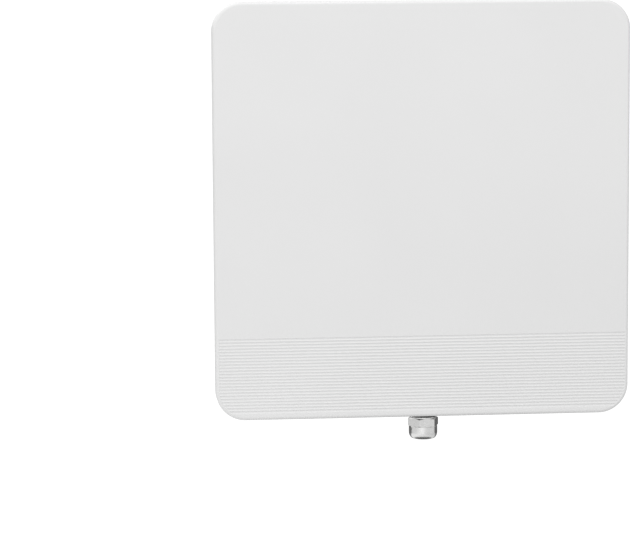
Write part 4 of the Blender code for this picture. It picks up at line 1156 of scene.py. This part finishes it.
def build_stage():
    """A pale floor under the hanging object, white to the camera and dimmer as a source of light.

    It lights the object from in front, more from the left and from afar, and least under the gland.
    """
    floor_drop = 0.16
    bpy.ops.mesh.primitive_circle_add(vertices=128, radius=30, fill_type="NGON",
                                      location=(0, 0, cad_low.z - floor_drop))
    floor = bpy.context.object
    floor.name = "floor"
    n = Nodes("floor_paint")
    in_front = n.ranged(n.measured("DOT_PRODUCT", (0.1, 1, 0)), 1.0, 0.05, 0.05, 0.2)
    from_gland = n.measured("DISTANCE", GLAND_FOOT)
    under_gland = n.ranged(from_gland, 0.05, 0.80, 0.11, 0.16)
    far = n.ranged(from_gland, 1.0, 1.28, 0.7, 1.1)
    x = n.measured("DOT_PRODUCT", (1, 0, 0))
    left = n.product(n.ranged(x, 0.35, 1.0, -1.4, -0.2), n.ranged(x, 1.22, 0.75, -0.35, 0.35))
    glow = n.product(n.product(in_front, left), n.product(under_gland, far))
    colour = n.mixed(n.noise(40.0, 3.0), (0.08, 0.08, 0.08), (0.10, 0.10, 0.10))
    floor.data.materials.append(n.set(colour=colour, roughness=0.9, specular=0.0,
                                      glow_colour=(1, 1, 1), glow=camera_only(n.tree, glow)))


def build_surround():
    """White to the camera. As light, a dome that is brightest in front, above and to the left."""
    dark, bright = 0.40, 1.08
    world = bpy.data.worlds.new("studio")
    bpy.context.scene.world = world
    world.use_nodes = True
    tree = world.node_tree
    brightest = Vector((-0.45, -0.58, 0.68)).normalized()
    inputs = {0: added(tree, "TexCoord", "Generated", {}), 1: brightest}
    dot = added(tree, "VectorMath", "Value", inputs, operation="DOT_PRODUCT")
    inputs = {"Value": dot, "From Min": -0.5, "From Max": 0.7, "To Min": dark, "To Max": bright}
    ramp = added(tree, "MapRange", "Result", inputs, interpolation_type="SMOOTHSTEP")
    background = tree.nodes["Background"]
    feed(tree, background.inputs["Color"], (1, 1, 1))
    feed(tree, background.inputs["Strength"], camera_only(tree, ramp))


def area_light(name, at, target, side, power):
    """A square lamp at a point, facing a target, unseen by the camera."""
    light = bpy.data.lights.new(name, "AREA")
    light.shape = "RECTANGLE"
    light.size = light.size_y = side
    light.energy = power
    lamp = in_scene(name, light)
    lamp.location = at
    lamp.rotation_euler = (Vector(target) - Vector(at)).to_track_quat("-Z", "Y").to_euler()
    lamp.visible_camera = False


def build_lights():
    """A soft key above the front and a larger one behind."""
    front = Vector((0, FRONT_Y, 0))
    area_light("key", front + Vector((-0.15, -0.50, 1.20)), front, side=0.5, power=3.4)
    area_light("back_key", (-1.4, 2.0, 1.5), (0, 0, 0), side=1.6, power=24)


def build_camera():
    """From the left and above, aimed beside the panel so that it stands up and to the right."""
    azimuth, elevation, roll = radians(-5.014), radians(6.987), radians(-0.387)
    distance, lens, sensor_width = 2.119, 153.70, 36
    aim = Vector((-0.0859, FRONT_Y, -0.0437))
    across, away = around((0, 0), cos(elevation), azimuth - pi / 2)
    back = Vector((across, away, sin(elevation)))
    level = UP.cross(back).normalized()
    above = back.cross(level)
    right = level * cos(roll) + above * sin(roll)
    up = above * cos(roll) - level * sin(roll)
    camera = in_scene("camera", bpy.data.cameras.new("camera"))
    camera.data.lens = lens
    camera.data.sensor_width = sensor_width
    camera.data.clip_end = 100
    turn = Matrix((right, up, back)).transposed()
    camera.matrix_world = Matrix.Translation(aim + back * distance) @ turn.to_4x4()
    bpy.context.scene.camera = camera


# ---- everything


paint_cad_nodes()
build_radome()
build_housing()
build_case_screws()
build_bracket_bolts()
build_tilt_bolts()
build_u_bolt_nuts()
soft_ring("gland_entry_washer", inner=0.0101, outer=0.0120, rounding=0.0003, slot="rubber")
soft_ring("gland_o_ring", inner=0.0093, outer=0.0109, rounding=0.0008, slot="rubber")
soft_ring("gland_slip_ring", inner=0.0072, outer=0.0089, rounding=0.0002, slot="white_nylon")
build_gland_body()
build_gland_seal()
build_gland_nut()
build_vent_plug()
build_ground_fittings()
build_panel_bracket()
build_mast_bracket()
build_saddles()
build_u_bolts()

build_stage()
build_surround()
build_lights()
build_camera()
bpy.context.scene.view_settings.view_transform = "Standard"

bpy.context.view_layer.update()
